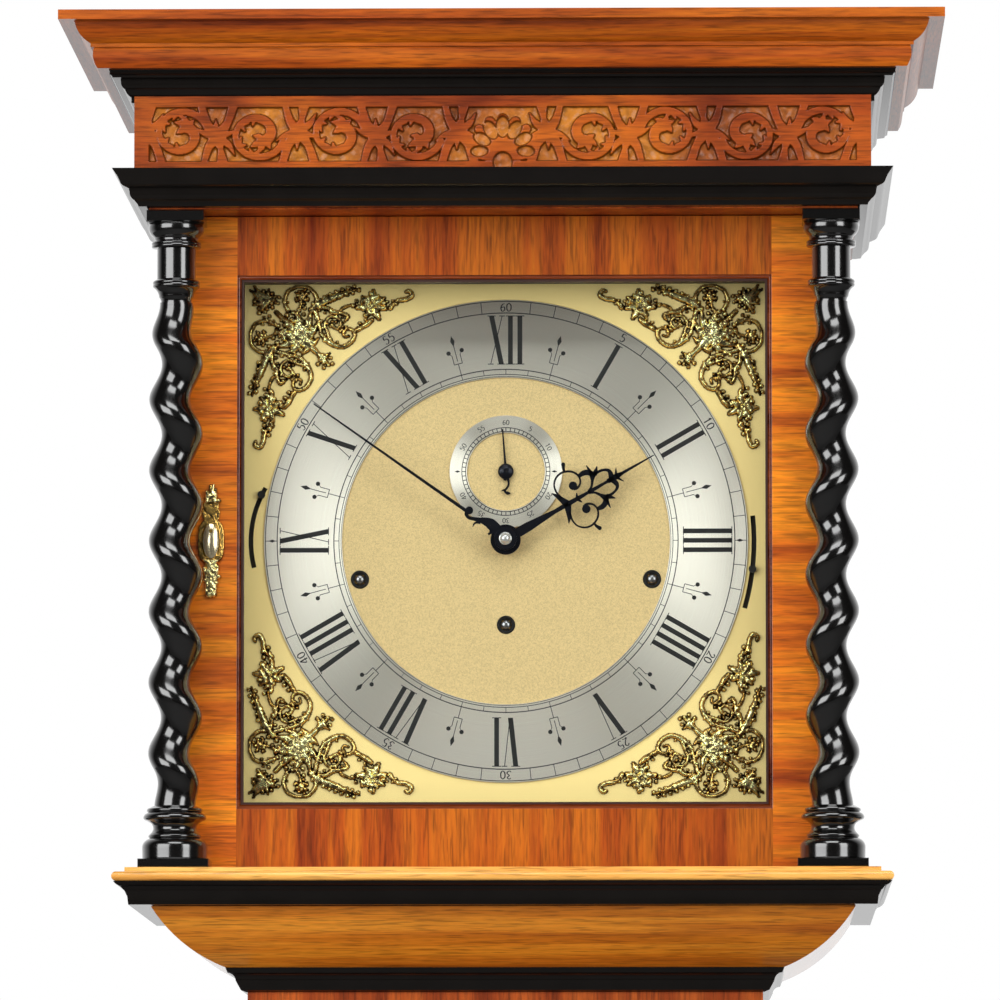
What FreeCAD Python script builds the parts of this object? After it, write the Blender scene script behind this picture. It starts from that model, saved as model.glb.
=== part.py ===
"""A longcase floor clock: case, sliding hood, glazed hood door, dial, movement, pendulum and weights.

Millimetres, +Z up.  The origin is on the floor under the middle of the cornice, the front faces -Y,
and every sub-part is written as parts/NAME.step.
"""

import FreeCAD, Part
import math
import os

os.makedirs("parts", exist_ok=True)
Vector = FreeCAD.Vector
up = Vector(0, 0, 1)
back = Vector(0, 1, 0)
right = Vector(1, 0, 0)

# Whole clock
overall_height = 2030.0
rear_y = 145.0
board = 12.0
slip = 0.3
touch_gap = 0.5
overrun = 5.0

# Case: trunk, base and feet
trunk_half_width = 135.2
trunk_depth = 196.05
trunk_side_thickness = 14.0
front_thickness = 18.0
base_height = 468.0
base_half_width = 168.0
base_panel_thickness = 16.0
base_floor_thickness = 12.0
skirting_height = 86.0
skirting_projection = 13.0
base_top_projection = 4.0
base_top_height = 44.0
foot_radius = 36.0
foot_neck_radius = 24.0
foot_height = 52.0
foot_inset = 44.0

# Throat and hood base
throat_height = 43.1
throat_black_height = 12.6
throat_black_projection = 11.2
throat_projection = 48.0
hood_base_height = 19.4
hood_cove_height = 12.0
hood_cove_projection = 7.5
hood_cove_reach = 22.5
nosing_reach = 30.9
nosing_height = 5.0
nosing_fillet_reach = 24.4
rail_clearance = 2.0

# Hood carcase
hood_front_setback = 40.85
soffit_reach = 13.5
soffit_height = 17.7
window_front_stile = 34.0
window_bottom_rail = 52.0
window_height = 240.0
window_length = 118.0
glass_thickness = 2.0
top_board_drop = 12.0
top_board_thickness = 10.0
mask_thickness = 8.0
mask_margin = 2.0

# Cornice, frieze and architrave
frieze_reach = 20.6
frieze_thickness = 10.0
entablature_height = 55.8
cornice_overhang = 36.55
cornice_lap = 4.6
cornice_height = 27.0
cornice_black_projection = 12.1
cornice_black_height = 13.2
architrave_projection = 18.3
carving_relief = 3.0
carving_end_margin = 8.0
carving_top_margin = 5.0
carving_bottom_margin = 3.0
carving_scroll_radius = 13.5
carving_band = 3.6

# Hood door
door_stile = 35.0
door_thickness = 20.0
sight_half = 137.0
door_bottom_rail = 36.0
door_top_rail = 35.0
bead_width = 3.5
bead_proud = 1.0
door_glass_setback = 9.0
door_rear_gap = 2.5
pivot_inset = 3.0
pivot_radius = 1.6
pivot_length = 6.0
running_clearance = 0.06

# Columns
column_inset = 0.4
column_reach = 18.5
column_cap_half = 15.1
column_cap_height = 5.8
column_bell_radius = 14.1
column_bell_foot_radius = 12.0
column_bell_height = 10.4
column_ring_radius = 12.7
column_ring_height = 3.4
column_neck_radius = 10.1
column_neck_height = 16.6
column_lower_ring_radius = 12.0
column_taper_radius = 7.9
column_taper_height = 8.0
twist_pitch = 37.1
twist_radius = 10.8
twist_offset = 3.2
twist_shift = 7.5
twist_steps_per_turn = 8
column_base_ring_radius = 15.8
column_base_ring_height = 6.5
column_scotia_radius = 12.2
column_scotia_height = 8.6
column_torus_radius = 17.3
column_torus_height = 9.8
column_plinth_half = 18.5
column_plinth_height = 4.8

# Escutcheons and their keyhole cover
escutcheon_inset = 18.0
escutcheon_length = 57.6
escutcheon_width = 11.0
escutcheon_thickness = 1.6
keyhole_radius = 2.2
cover_half_width = 4.2
cover_half_height = 9.0
cover_thickness = 1.4
cover_pin_radius = 1.0
trunk_escutcheon_rise = 35.0

# Trunk door
trunk_door_half_width = 104.5
trunk_door_bottom_rail = 120.0
trunk_door_top_rail = 55.9
trunk_door_lip = 8.0
trunk_door_lip_thickness = 6.0
hinge_knuckle_radius = 2.5
hinge_pin_radius = 1.2
hinge_length = 60.0
hinge_leaf_width = 12.0
hinge_leaf_thickness = 1.4
hinge_end_distance = 110.0

# Dial
dial_margin = 3.0
dial_front_y = -31.5
dial_thickness = 2.5
dial_rise = 3.3
chapter_margin = 9.0
chapter_band = 41.3
ring_thickness = 1.2
seconds_rise = 36.7
seconds_outer_radius = 29.8
seconds_inner_radius = 20.6
seconds_clearance = 0.4
winding_hole_radius = 4.9
side_winding_x = 77.2
side_winding_drop = 20.4
going_winding_drop = 44.5
spandrel_margin = 4.5
spandrel_leg = 86.0
spandrel_thickness = 3.0
spandrel_band = 6.0
slot_width = 2.6
left_slot_radius = 56.0
left_slot_margin = 2.0
left_slot_start = 255.5
left_slot_sweep = 45.0
strike_lever_angle = 296.0
right_slot_gap = 3.1
right_slot_start = 84.2
right_slot_sweep = 21.7
chime_lever_angle = 96.7
lever_shutter_band = 6.0
strike_shutter_start = 251.5
strike_shutter_sweep = 91.0
chime_shutter_start = 74.5
chime_shutter_sweep = 44.0
lever_thickness = 0.7
lever_knob_radius = 2.0
lever_knob_length = 3.5

# Hands and their arbors
centre_arbor_radius = 2.0
hand_plane_gap = 5.0
hour_hand_thickness = 1.2
minute_hand_thickness = 1.2
seconds_hand_thickness = 0.7
hour_pipe_radius = 5.0
hour_pipe_wall = 1.0
cannon_radius = 3.4
minute_hand_length = 124.0
minute_hand_angle = -54.7
minute_scroll_length = 22.6
minute_hub_radius = 6.0
minute_shaft_width = 2.4
minute_tip_width = 0.9
hour_hand_length = 90.0
hour_hand_angle = 60.3
hour_hub_radius = 8.4
hour_loop_distance = 42.5
hour_loop_offset = 9.0
hour_loop_radius = 7.2
hour_loop_band = 1.6
hour_collar_radius = 2.7
hour_collar_distance = 66.2
seconds_hand_length = 22.6
seconds_tail_length = 12.0
seconds_hub_radius = 4.0
seconds_needle_width = 0.9
nut_radius = 4.2
nut_height = 3.4

# Movement
front_plate_y = -6.0
plate_thickness = 3.0
plate_gap = 62.0
plate_half_width = 118.0
plate_rise = 81.0
pillar_radius = 5.0
pillar_inset = 12.0
dial_foot_radius = 3.0
dial_foot_x = 96.0
dial_foot_z = 62.0
arbor_radius = 1.6
pivot_clearance = 0.08
pivot_end_shake = 0.4
wheel_thickness = 1.8
wheel_rim = 4.0
wheel_arm = 3.2
wheel_hub_radius = 5.0
pinion_length = 8.0
great_wheel_teeth = 96
centre_pinion_leaves = 8
centre_wheel_teeth = 60
third_pinion_leaves = 8
third_wheel_teeth = 64
escape_pinion_leaves = 8
escape_teeth = 30
escape_radius = 15.0
escape_tooth_height = 3.0
cannon_teeth = 12
minute_wheel_teeth = 36
minute_pinion_leaves = 10
hour_wheel_teeth = 40
third_pitch_distance = 23.8
escape_pitch_distance = 19.8
motion_pitch_distance = 24.0
side_wheel_teeth = 84
backlash_share = 0.12
barrel_radius = 19.5
barrel_length = 24.0
barrel_flange_radius = 23.0
barrel_flange_thickness = 1.6
winding_arbor_radius = 3.2
winding_square = 4.4
anchor_rise = 25.0
anchor_clearance = 1.0
anchor_thickness = 3.0
anchor_arm_width = 4.0
anchor_span_teeth = 7.5
crutch_length = 92.0
crutch_radius = 1.1
crutch_slot_clearance = 0.5

# Pendulum
pendulum_y = 92.0
pendulum_theoretical_length = 994.0
rod_radius = 3.0
rod_below_bob = 44.0
bob_radius = 58.0
bob_thickness = 26.0
bob_edge_thickness = 6.0
rating_nut_radius = 9.0
rating_nut_height = 8.0
spring_width = 9.0
spring_thickness = 0.4
spring_length = 24.0
cock_width = 26.0
cock_arm_height = 12.0

# Weights, pulleys and cables
weight_radius = 28.0
weight_length = 196.0
weight_cap_height = 6.0
weight_floor_clearance = 300.0
pulley_radius = 19.5
pulley_groove = 1.6
pulley_thickness = 6.0
pulley_axle_radius = 2.0
stirrup_thickness = 2.0
stirrup_width = 9.0
stirrup_hook_height = 12.0
cable_radius = 0.7

# Seatboard, gongs and backboard
seat_depth = 105.0
seat_thickness = 18.0
seat_slot_half_width = 4.0
rod_slot_half_width = 14.0
backboard_ear_half_width = 158.5
backboard_drop = 46.0
cheek_front_y = -25.0
wall_hole_radius = 2.5
wall_hole_drop = 130.0
gong_block_width = 60.0
gong_block_height = 34.0
gong_block_depth = 16.0
gong_rod_radius = 1.8
gong_rod_lengths = (210.0, 196.0, 182.0, 168.0, 154.0)
gong_rod_spacing = 11.0

# Places worked out from the sizes
trunk_front = rear_y - trunk_depth
corner_line = trunk_front + trunk_half_width
backboard_front = rear_y - board
hood_half_width = sight_half + door_stile
frieze_half_width = hood_half_width + frieze_reach
cornice_inner_half_width = frieze_half_width - cornice_lap
cornice_half_width = frieze_half_width + cornice_overhang
soffit_half_width = hood_half_width + soffit_reach
hood_front_y = corner_line - hood_half_width + hood_front_setback
door_front_y = hood_front_y - door_rear_gap - door_thickness
frieze_top = overall_height - cornice_height - cornice_black_height - slip
soffit_z = frieze_top - entablature_height
hood_base_top = soffit_z - door_top_rail - sight_half * 2 - door_bottom_rail
hood_bottom = hood_base_top - hood_base_height
throat_top = hood_bottom - slip
throat_black_bottom = throat_top - throat_height
base_bottom = foot_height
trunk_bottom = base_bottom + base_height
trunk_door_bottom = trunk_bottom + trunk_door_bottom_rail
trunk_door_top = throat_black_bottom - trunk_door_top_rail
trunk_escutcheon_z = (trunk_door_bottom + trunk_door_top) / 2 + trunk_escutcheon_rise
sight_centre_z = hood_base_top + door_bottom_rail + sight_half
dial_centre_z = sight_centre_z + dial_rise
dial_size = (sight_half + dial_margin) * 2
mask_opening = (sight_half + mask_margin) * 2
column_x = hood_half_width - column_inset
column_y = door_front_y - column_reach
escutcheon_x = escutcheon_inset - hood_half_width
chapter_outer_radius = sight_half - chapter_margin
chapter_inner_radius = chapter_outer_radius - chapter_band
spandrel_reach = sight_half - spandrel_margin
right_slot_radius = chapter_outer_radius + right_slot_gap
left_slot_pivot_x = left_slot_radius + left_slot_margin - sight_half
plate_top = dial_centre_z + plate_rise
seat_top = dial_centre_z - seat_depth
backboard_top = overall_height - backboard_drop
wall_hole_z = overall_height - wall_hole_drop
base_floor_top = base_bottom + base_floor_thickness
weight_top = base_floor_top + weight_floor_clearance + weight_length
door_bottom = hood_base_top + touch_gap
door_top = soffit_z - touch_gap
door_rear_y = door_front_y + door_thickness
dial_rear_y = dial_front_y + dial_thickness
back_plate_y = front_plate_y + plate_thickness + plate_gap
barrel_y = front_plate_y + plate_thickness + plate_gap / 2
going_z = dial_centre_z - going_winding_drop
side_z = dial_centre_z - side_winding_drop
seconds_z = dial_centre_z + seconds_rise
anchor_z = seconds_z + anchor_rise
bob_z = anchor_z - pendulum_theoretical_length
pulley_z = weight_top + stirrup_hook_height + pulley_radius + stirrup_thickness


def block(x0, x1, y0, y1, z0, z1):
    """A rectangular board between two corners."""
    return Part.makeBox(x1 - x0, y1 - y0, z1 - z0, Vector(x0, y0, z0))


def mirrored_block(x0, x1, y0, y1, z0, z1):
    """Two equal boards, one each side of the middle plane."""
    return [block(x0, x1, y0, y1, z0, z1), block(-x1, -x0, y0, y1, z0, z1)]


def bar(radius, x, y0, y1, z):
    """A round bar along Y."""
    return Part.makeCylinder(radius, y1 - y0, Vector(x, y0, z), back)


def post(radius, x, y, z0, z1):
    """A round upright bar."""
    return Part.makeCylinder(radius, z1 - z0, Vector(x, y, z0), up)


def tube(outer, inner, x, y0, y1, z):
    """A round tube along Y."""
    return bar(outer, x, y0, y1, z).cut(bar(inner, x, y0 - overrun, y1 + overrun, z))


def turned(points, x, y):
    """A turned upright piece: (radius, height) points joined by straight lines about (x, y)."""
    outline = [Vector(x, y, points[0][1])]
    outline += [Vector(x + radius, y, z) for radius, z in points]
    outline += [Vector(x, y, points[-1][1]), outline[0]]
    face = Part.Face(Part.makePolygon(outline))
    return face.revolve(Vector(x, y, 0), up, 360)


def plate_from(points, y, thickness):
    """A flat plate facing the front, cut to an outline of (x, z) points."""
    outline = [Vector(x, y, z) for x, z in points]
    return Part.Face(Part.makePolygon(outline + [outline[0]])).extrude(back * thickness)


def turn_about_hub(shape, angle, x, z):
    """Turn a piece clockwise, as seen from the front, about a hub in the dial."""
    turned_shape = shape.copy()
    turned_shape.rotate(Vector(x, 0, z), back, angle)
    return turned_shape


def save(name, pieces):
    """Write one sub-part as a STEP file of separate solids."""
    solids = []
    for piece in pieces:
        solids += piece.removeSplitter().Solids if piece.Solids else []
    bad = [solid for solid in solids if not solid.isValid() or solid.Volume <= 0]
    shape = solids[0] if len(solids) == 1 else Part.makeCompound(solids)
    shape.exportStep("parts/" + name + ".step")
    print(name, len(solids), "solids", "BAD" if bad or not solids else "ok", round(shape.Volume))


def moulding_face(profile):
    """A moulding's section in the X-Z plane, from (half width, height) points; a third value marks an arc.

    A point (half width, height, bulge) is reached by an arc whose middle stands off the straight line
    by bulge times the line's length, to the left of the way it goes.
    """
    edges = []
    for start, end in zip(profile, profile[1:] + profile[:1]):
        first = Vector(start[0], 0, start[1])
        last = Vector(end[0], 0, end[1])
        if len(end) == 3:
            way = last - first
            side = Vector(-way.z, 0, way.x) * end[2]
            edges.append(Part.Arc(first, (first + last) / 2 + side, last).toShape())
        else:
            edges.append(Part.makeLine(first, last))
    return Part.Face(Part.Wire(edges))


def moulding(profile):
    """Three mitred lengths of a moulding: the front and two returns to the wall."""
    face = moulding_face(profile)
    reach = max(point[0] for point in profile)
    low = min(point[1] for point in profile)
    high = max(point[1] for point in profile)
    front_y = corner_line - reach
    side = face.extrude(back * (rear_y - front_y + overrun))
    side.translate(back * (front_y - overrun))
    mitre = Part.Face(Part.makePolygon([
        Vector(0, corner_line, low - overrun), Vector(reach + overrun, front_y - overrun, low - overrun),
        Vector(reach + overrun, rear_y, low - overrun), Vector(0, rear_y, low - overrun),
        Vector(0, corner_line, low - overrun)])).extrude(up * (high - low + 2 * overrun))
    right_side = side.common(mitre)
    front_face = face.copy()
    front_face.rotate(Vector(0, 0, 0), up, -90)
    front_face.translate(back * corner_line)
    front = front_face.extrude(right * (2 * (reach + overrun)))
    front.translate(right * -(reach + overrun))
    wedge = Part.Face(Part.makePolygon([
        Vector(0, corner_line, low - overrun), Vector(-reach - overrun, front_y - overrun, low - overrun),
        Vector(reach + overrun, front_y - overrun, low - overrun),
        Vector(0, corner_line, low - overrun)])).extrude(up * (high - low + 2 * overrun))
    left_side = right_side.mirror(Vector(0, 0, 0), right)
    return [front.common(wedge), right_side, left_side]


def shaped(shares, inner, projection, low, height):
    """Profile points from shares of a moulding's projection and height, closed along its inner face."""
    points = [(inner, low), ]
    for share in shares:
        point = (inner + share[0] * projection, low + share[1] * height)
        points.append(point + tuple(share[2:]))
    points.append((inner, low + height))
    return [point for at, point in enumerate(points) if at == 0 or point[:2] != points[at - 1][:2]]


def board_frame(half_width, inner_half_width, front_y, inner_front_y, low, high):
    """A three-sided frame of boards: a front rail between two side boards that run to the wall."""
    sides = mirrored_block(inner_half_width, half_width, front_y, rear_y, low, high)
    return sides + [block(-inner_half_width, inner_half_width, front_y, inner_front_y, low, high)]


def make_case():
    """Backboard, trunk, throat, seatboard, base, skirting and feet."""
    trunk_top = throat_top
    ears = block(-backboard_ear_half_width, backboard_ear_half_width, backboard_front, rear_y,
                 hood_base_top + touch_gap, backboard_top)
    trunk_inner = trunk_half_width - trunk_side_thickness
    lower_back = block(-trunk_inner, trunk_inner, backboard_front, rear_y, base_bottom,
                       hood_base_top + touch_gap)
    base_inner = base_half_width - base_panel_thickness
    base_back = block(-base_inner, base_inner, backboard_front, rear_y, base_bottom, trunk_bottom)
    wall_hole = bar(wall_hole_radius, 0, 0, rear_y + overrun, wall_hole_z)
    backboard = ears.fuse(lower_back).fuse(base_back).cut(wall_hole)
    save("backboard", [backboard])

    cheek_top = seat_top - seat_thickness
    side = block(trunk_inner, trunk_half_width, trunk_front + front_thickness, rear_y, trunk_bottom,
                 trunk_top)
    cheek = block(trunk_inner, trunk_half_width, cheek_front_y, backboard_front, trunk_top, cheek_top)
    save("trunk_sides", [side.fuse(cheek), side.fuse(cheek).mirror(Vector(0, 0, 0), right)])

    opening_half = trunk_door_half_width + touch_gap
    rear = trunk_front + front_thickness
    bottom = trunk_door_bottom - touch_gap
    top = trunk_door_top + touch_gap
    stiles = mirrored_block(opening_half, trunk_half_width, trunk_front, rear, trunk_bottom, trunk_top)
    rails = [block(-opening_half, opening_half, trunk_front, rear, trunk_bottom, bottom),
             block(-opening_half, opening_half, trunk_front, rear, top, trunk_top)]
    save("trunk_front_frame", stiles + rails)

    throat_low = throat_black_bottom + throat_black_height
    throat_shares = [(0.23, 0.0), (1.0, 0.99, -0.085), (1.0, 1.0)]
    save("throat_moulding", moulding(shaped(throat_shares, trunk_half_width, throat_projection,
                                            throat_low, throat_top - throat_low)))
    black_shares = [(0.06, 0.0), (0.30, 0.08), (0.45, 0.32), (0.54, 0.48), (0.90, 0.78, 0.2), (1.0, 1.0)]
    save("throat_black_moulding", moulding(shaped(black_shares, trunk_half_width, throat_black_projection,
                                                  throat_black_bottom, throat_black_height)))

    seat = block(-trunk_half_width, trunk_half_width, cheek_front_y, backboard_front, cheek_top, seat_top)
    for x in (-side_winding_x, 0, side_winding_x):
        for run in (-1, 1):
            line_x = x + run * pulley_radius
            seat = seat.cut(block(line_x - seat_slot_half_width, line_x + seat_slot_half_width,
                                  barrel_y - barrel_length / 2, barrel_y + barrel_length / 2,
                                  cheek_top - overrun, seat_top + overrun))
    rod_slot = block(-rod_slot_half_width, rod_slot_half_width, pendulum_y - spring_width,
                     backboard_front + overrun, cheek_top - overrun, seat_top + overrun)
    save("seatboard", [seat.cut(rod_slot)])

    base_front = corner_line - base_half_width
    inner = base_half_width - base_panel_thickness
    panels = mirrored_block(inner, base_half_width, base_front + base_panel_thickness, rear_y,
                            base_bottom, trunk_bottom)
    panels.append(block(-base_half_width, base_half_width, base_front, base_front + base_panel_thickness,
                        base_bottom, trunk_bottom))
    panels.append(block(-inner, inner, base_front + base_panel_thickness, backboard_front, base_bottom,
                        base_bottom + base_floor_thickness))
    save("base_panels", panels)

    top_shares = [(1.0, 0.0), (1.0, 0.12), (0.86, 0.20), (0.34, 0.72, -0.16), (0.16, 0.80), (0.10, 1.0)]
    top_projection = base_half_width - trunk_half_width + base_top_projection
    top_moulding = moulding(shaped(top_shares, trunk_half_width, top_projection, trunk_bottom,
                                   base_top_height))
    skirting_shares = [(1.0, 0.0), (1.0, 0.80), (0.55, 0.84), (0.12, 1.0, -0.2)]
    skirting = moulding(shaped(skirting_shares, base_half_width, skirting_projection, base_bottom,
                               skirting_height))
    save("base_mouldings", top_moulding + skirting)

    foot_x = base_half_width - foot_inset
    foot_shares = [(0.62, 0.0), (0.86, 0.10), (1.0, 0.36), (0.94, 0.60), (0.68, 0.78)]
    feet = []
    for x in (-foot_x, foot_x):
        for y in (base_front + foot_inset, rear_y - foot_inset):
            points = [(share * foot_radius, height_share * foot_height)
                      for share, height_share in foot_shares]
            feet.append(turned(points + [(foot_neck_radius, foot_height)], x, y))
    save("bun_feet", feet)


def make_hood():
    """The sliding hood: carcase, glazed sides, base, architrave, carved frieze, cornice and dial mask."""
    inner = hood_half_width - board
    rear = rear_y
    window_front = hood_front_y + window_front_stile
    window_back = window_front + window_length
    window_low = hood_base_top + window_bottom_rail
    window_high = window_low + window_height
    sides = []
    for sign in (-1, 1):
        x0, x1 = sorted((sign * inner, sign * hood_half_width))
        sides.append(block(x0, x1, hood_front_y, window_front, hood_base_top, soffit_z))
        sides.append(block(x0, x1, window_back, rear, hood_base_top, soffit_z))
        sides.append(block(x0, x1, window_front, window_back, hood_base_top, window_low))
        sides.append(block(x0, x1, window_front, window_back, window_high, soffit_z))
    soffit = board_frame(soffit_half_width, inner, corner_line - soffit_half_width,
                         hood_front_y + mask_thickness, soffit_z, soffit_z + soffit_height)
    top_z = overall_height - top_board_drop
    top_board = block(-cornice_inner_half_width, cornice_inner_half_width,
                      corner_line - cornice_inner_half_width, rear, top_z - top_board_thickness, top_z)
    save("hood_carcase", sides + soffit + [top_board])
    glass_x = inner + glass_thickness
    save("side_glasses", mirrored_block(inner, glass_x, window_front, window_back, window_low, window_high))

    cornice_low = overall_height - cornice_height
    cornice_shares = [(0.59, 0.0), (0.63, 0.40), (0.64, 0.43), (0.80, 0.82, -0.1), (1.0, 0.82), (1.0, 1.0)]
    cornice_projection = cornice_half_width - cornice_inner_half_width
    save("cornice_moulding", moulding(shaped(cornice_shares, cornice_inner_half_width, cornice_projection,
                                             cornice_low, cornice_height)))
    black_low = cornice_low - cornice_black_height
    black_shares = [(0.14, 0.0), (0.38, 0.32), (0.52, 0.54), (0.95, 0.75, -0.2), (1.0, 1.0)]
    ebonised = moulding(shaped(black_shares, frieze_half_width, cornice_black_projection, black_low,
                               cornice_black_height))
    frieze_low = soffit_z + soffit_height
    frieze_inner = frieze_half_width - frieze_thickness
    frieze_front = corner_line - frieze_half_width
    frieze = board_frame(frieze_half_width, frieze_inner, frieze_front, frieze_front + frieze_thickness,
                         frieze_low, cornice_low)
    save("carved_frieze", frieze + make_carving(frieze_front, frieze_low))
    architrave_shares = [(0.10, 0.0), (0.28, 0.04), (0.35, 0.18), (0.45, 0.38), (0.50, 0.53),
                         (0.66, 0.58), (0.79, 0.75, -0.2), (0.83, 0.82), (1.0, 1.0)]
    ebonised += moulding(shaped(architrave_shares, soffit_half_width, architrave_projection,
                                soffit_z + touch_gap, soffit_height - touch_gap))

    base_low = hood_bottom + hood_cove_height
    base_inner = trunk_half_width + rail_clearance
    nosing_low = base_low
    fillet_share = hood_half_width + nosing_fillet_reach - base_inner
    nosing_width = hood_half_width + nosing_reach - base_inner
    step = nosing_height / (hood_base_top - base_low)
    base_shares = [(0.962, 0.0), (0.962, step, -0.5), (fillet_share / nosing_width, step),
                   (fillet_share / nosing_width, 1.0)]
    front_rail_inner = hood_front_y + mask_thickness
    save("hood_base_moulding", hood_base_pieces(shaped(base_shares, base_inner, nosing_width, nosing_low,
                                                       hood_base_top - base_low), front_rail_inner))
    cove_shares = [(0.0, 0.0), (0.06, 0.35), (0.25, 0.60), (0.50, 0.78, -0.2), (1.0, 1.0)]
    cove_inner = base_inner
    cove = [(cove_inner, hood_bottom)]
    for share, height_share, *bulge in cove_shares:
        cove.append((hood_half_width + hood_cove_reach + share * hood_cove_projection,
                     hood_bottom + height_share * hood_cove_height, *bulge))
    cove.append((cove_inner, hood_bottom + hood_cove_height))
    save("hood_black_mouldings", ebonised + hood_base_pieces(cove, front_rail_inner))

    half = mask_opening / 2
    mask_back = hood_front_y + mask_thickness
    mask = mirrored_block(half, inner, hood_front_y, mask_back, hood_base_top, soffit_z)
    mask.append(block(-half, half, hood_front_y, mask_back, hood_base_top, sight_centre_z - half))
    mask.append(block(-half, half, hood_front_y, mask_back, sight_centre_z + half, soffit_z))
    save("dial_mask", mask)


def hood_base_pieces(profile, front_rail_inner):
    """The hood's base lengths, with the front one cut back so that the hood clears the trunk's cheeks."""
    front, right_side, left_side = moulding(profile)
    reach = max(point[0] for point in profile)
    inner = profile[0][0]
    low = min(point[1] for point in profile)
    high = max(point[1] for point in profile)
    filler = block(-inner, inner, corner_line - inner - touch_gap, front_rail_inner, low, high)
    return [front.fuse(filler) if front_rail_inner > corner_line - inner else front, right_side, left_side]


def ring_segment(x, z, radius, band, y, thickness, start, sweep):
    """A flat arc-shaped band facing the front; start and sweep are degrees clockwise from the top."""
    outer = Part.makeCylinder(radius + band / 2, thickness, Vector(x, y, z), back, sweep)
    inner = Part.makeCylinder(radius - band / 2, thickness, Vector(x, y, z), back, sweep)
    piece = outer.cut(inner)
    piece.rotate(Vector(x, y, z), back, start)
    return piece


def make_carving(front_y, low):
    """Traditional running scrolls and a middle shell, carved in relief on the frieze."""
    field_low = low + carving_bottom_margin
    field_high = frieze_top - carving_top_margin
    middle = (field_low + field_high) / 2
    y = front_y - carving_relief
    reach = frieze_half_width - carving_end_margin
    pieces = []
    count = 4
    first = carving_scroll_radius * 2
    pitch = (reach - first) / count
    for sign in (-1, 1):
        for at in range(count):
            x = sign * (first + pitch * (at + 0.5))
            flip = 1 if at % 2 == 0 else -1
            start = 0 if flip > 0 else 180
            pieces.append(ring_segment(x, middle, carving_scroll_radius, carving_band, y, carving_relief,
                                       start, 300))
            pieces.append(ring_segment(x, middle, carving_scroll_radius / 2, carving_band, y,
                                       carving_relief, start + 90, 300))
            pieces.append(bar(carving_band, x, y, front_y, middle))
    petals = 9
    petal_reach = field_high - field_low - carving_band
    for at in range(petals):
        angle = -80 + 160 * at / (petals - 1)
        petal = block(-carving_band / 2, carving_band / 2, y, front_y, field_low + petal_reach / 4,
                      field_low + petal_reach)
        petal.rotate(Vector(0, 0, field_low), back, angle)
        pieces.append(petal.common(block(-first, first, y, front_y, field_low, field_high)))
    return [pieces[0].multiFuse(pieces[1:])]


def make_hood_door():
    """The glazed door: stiles, rails, bead, glass, pivots, columns and keyhole brasses."""
    front, rear = door_front_y, door_rear_y
    low, high = door_bottom, door_top
    sight = sight_half + bead_width
    stiles = mirrored_block(sight, hood_half_width, front, rear, low, high)
    rails = [block(-sight, sight, front, rear, low, sight_centre_z - sight),
             block(-sight, sight, front, rear, sight_centre_z + sight, high)]
    pivot_x = hood_half_width - pivot_inset
    pivot_y = rear - pivot_inset
    hole = pivot_radius
    for z0 in (low - overrun, high - pivot_length):
        stiles[0] = stiles[0].cut(post(hole, pivot_x, pivot_y, z0, z0 + pivot_length + overrun))
    save("hood_door_frame", stiles + rails)
    pins = [post(pivot_radius, pivot_x, pivot_y, low - touch_gap / 2, low + pivot_length),
            post(pivot_radius, pivot_x, pivot_y, high - pivot_length, high + touch_gap / 2)]

    bead_outer = block(-sight, sight, front - bead_proud, front + door_glass_setback,
                       sight_centre_z - sight, sight_centre_z + sight)
    bead_hole = block(-sight_half, sight_half, front - overrun, rear, sight_centre_z - sight_half,
                      sight_centre_z + sight_half)
    save("door_bead", [bead_outer.cut(bead_hole)])
    glass_y = front + door_glass_setback
    save("door_glass", [block(-sight, sight, glass_y, glass_y + glass_thickness,
                              sight_centre_z - sight, sight_centre_z + sight)])

    column = make_column()
    save("column_right", [column])
    save("column_left", [column.mirror(Vector(0, 0, 0), right)])

    save("hood_door_brasses", pins + [escutcheon_plate(escutcheon_x, sight_centre_z, front)])
    pin_z = sight_centre_z + cover_half_height * 0.6
    cover_y = front - escutcheon_thickness - touch_gap
    cover = oval(escutcheon_x, sight_centre_z, cover_half_width, cover_half_height,
                 cover_y - cover_thickness, cover_thickness)
    cover = cover.cut(bar(cover_pin_radius + running_clearance, escutcheon_x, cover_y - overrun,
                          cover_y + overrun, pin_z))
    save("keyhole_cover", [cover])


def oval(x, z, half_width, half_height, y, thickness):
    """An upright oval plate facing the front."""
    ellipse = Part.Ellipse(Vector(x, y, z + half_height), Vector(x + half_width, y, z), Vector(x, y, z))
    return Part.Face(Part.Wire(ellipse.toShape())).extrude(back * thickness)


def escutcheon_plate(x, z, front):
    """A foliate keyhole plate: scrolled outline, keyhole and, for the hood door, the cover's pin."""
    half = escutcheon_length / 2
    width = escutcheon_width / 2
    y = front - escutcheon_thickness
    shares = [(0.0, 1.0), (0.34, 0.86), (0.20, 0.72), (0.80, 0.56), (0.55, 0.42), (1.0, 0.24), (0.86, 0.0)]
    outline = [(x + width * a, z + half * b) for a, b in shares]
    outline += [(x + width * a, z - half * b) for a, b in reversed(shares[:-1])]
    outline += [(x - width * a, z - half * b) for a, b in shares[1:]]
    outline += [(x - width * a, z + half * b) for a, b in reversed(shares[1:-1])]
    plate = plate_from(outline, y, escutcheon_thickness)
    hole = bar(keyhole_radius, x, y - overrun, front + overrun, z - keyhole_radius)
    pin_z = z + cover_half_height * 0.6
    pin = bar(cover_pin_radius, x, y - touch_gap - cover_thickness, front, pin_z)
    return plate.cut(hole).fuse(pin)


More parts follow.
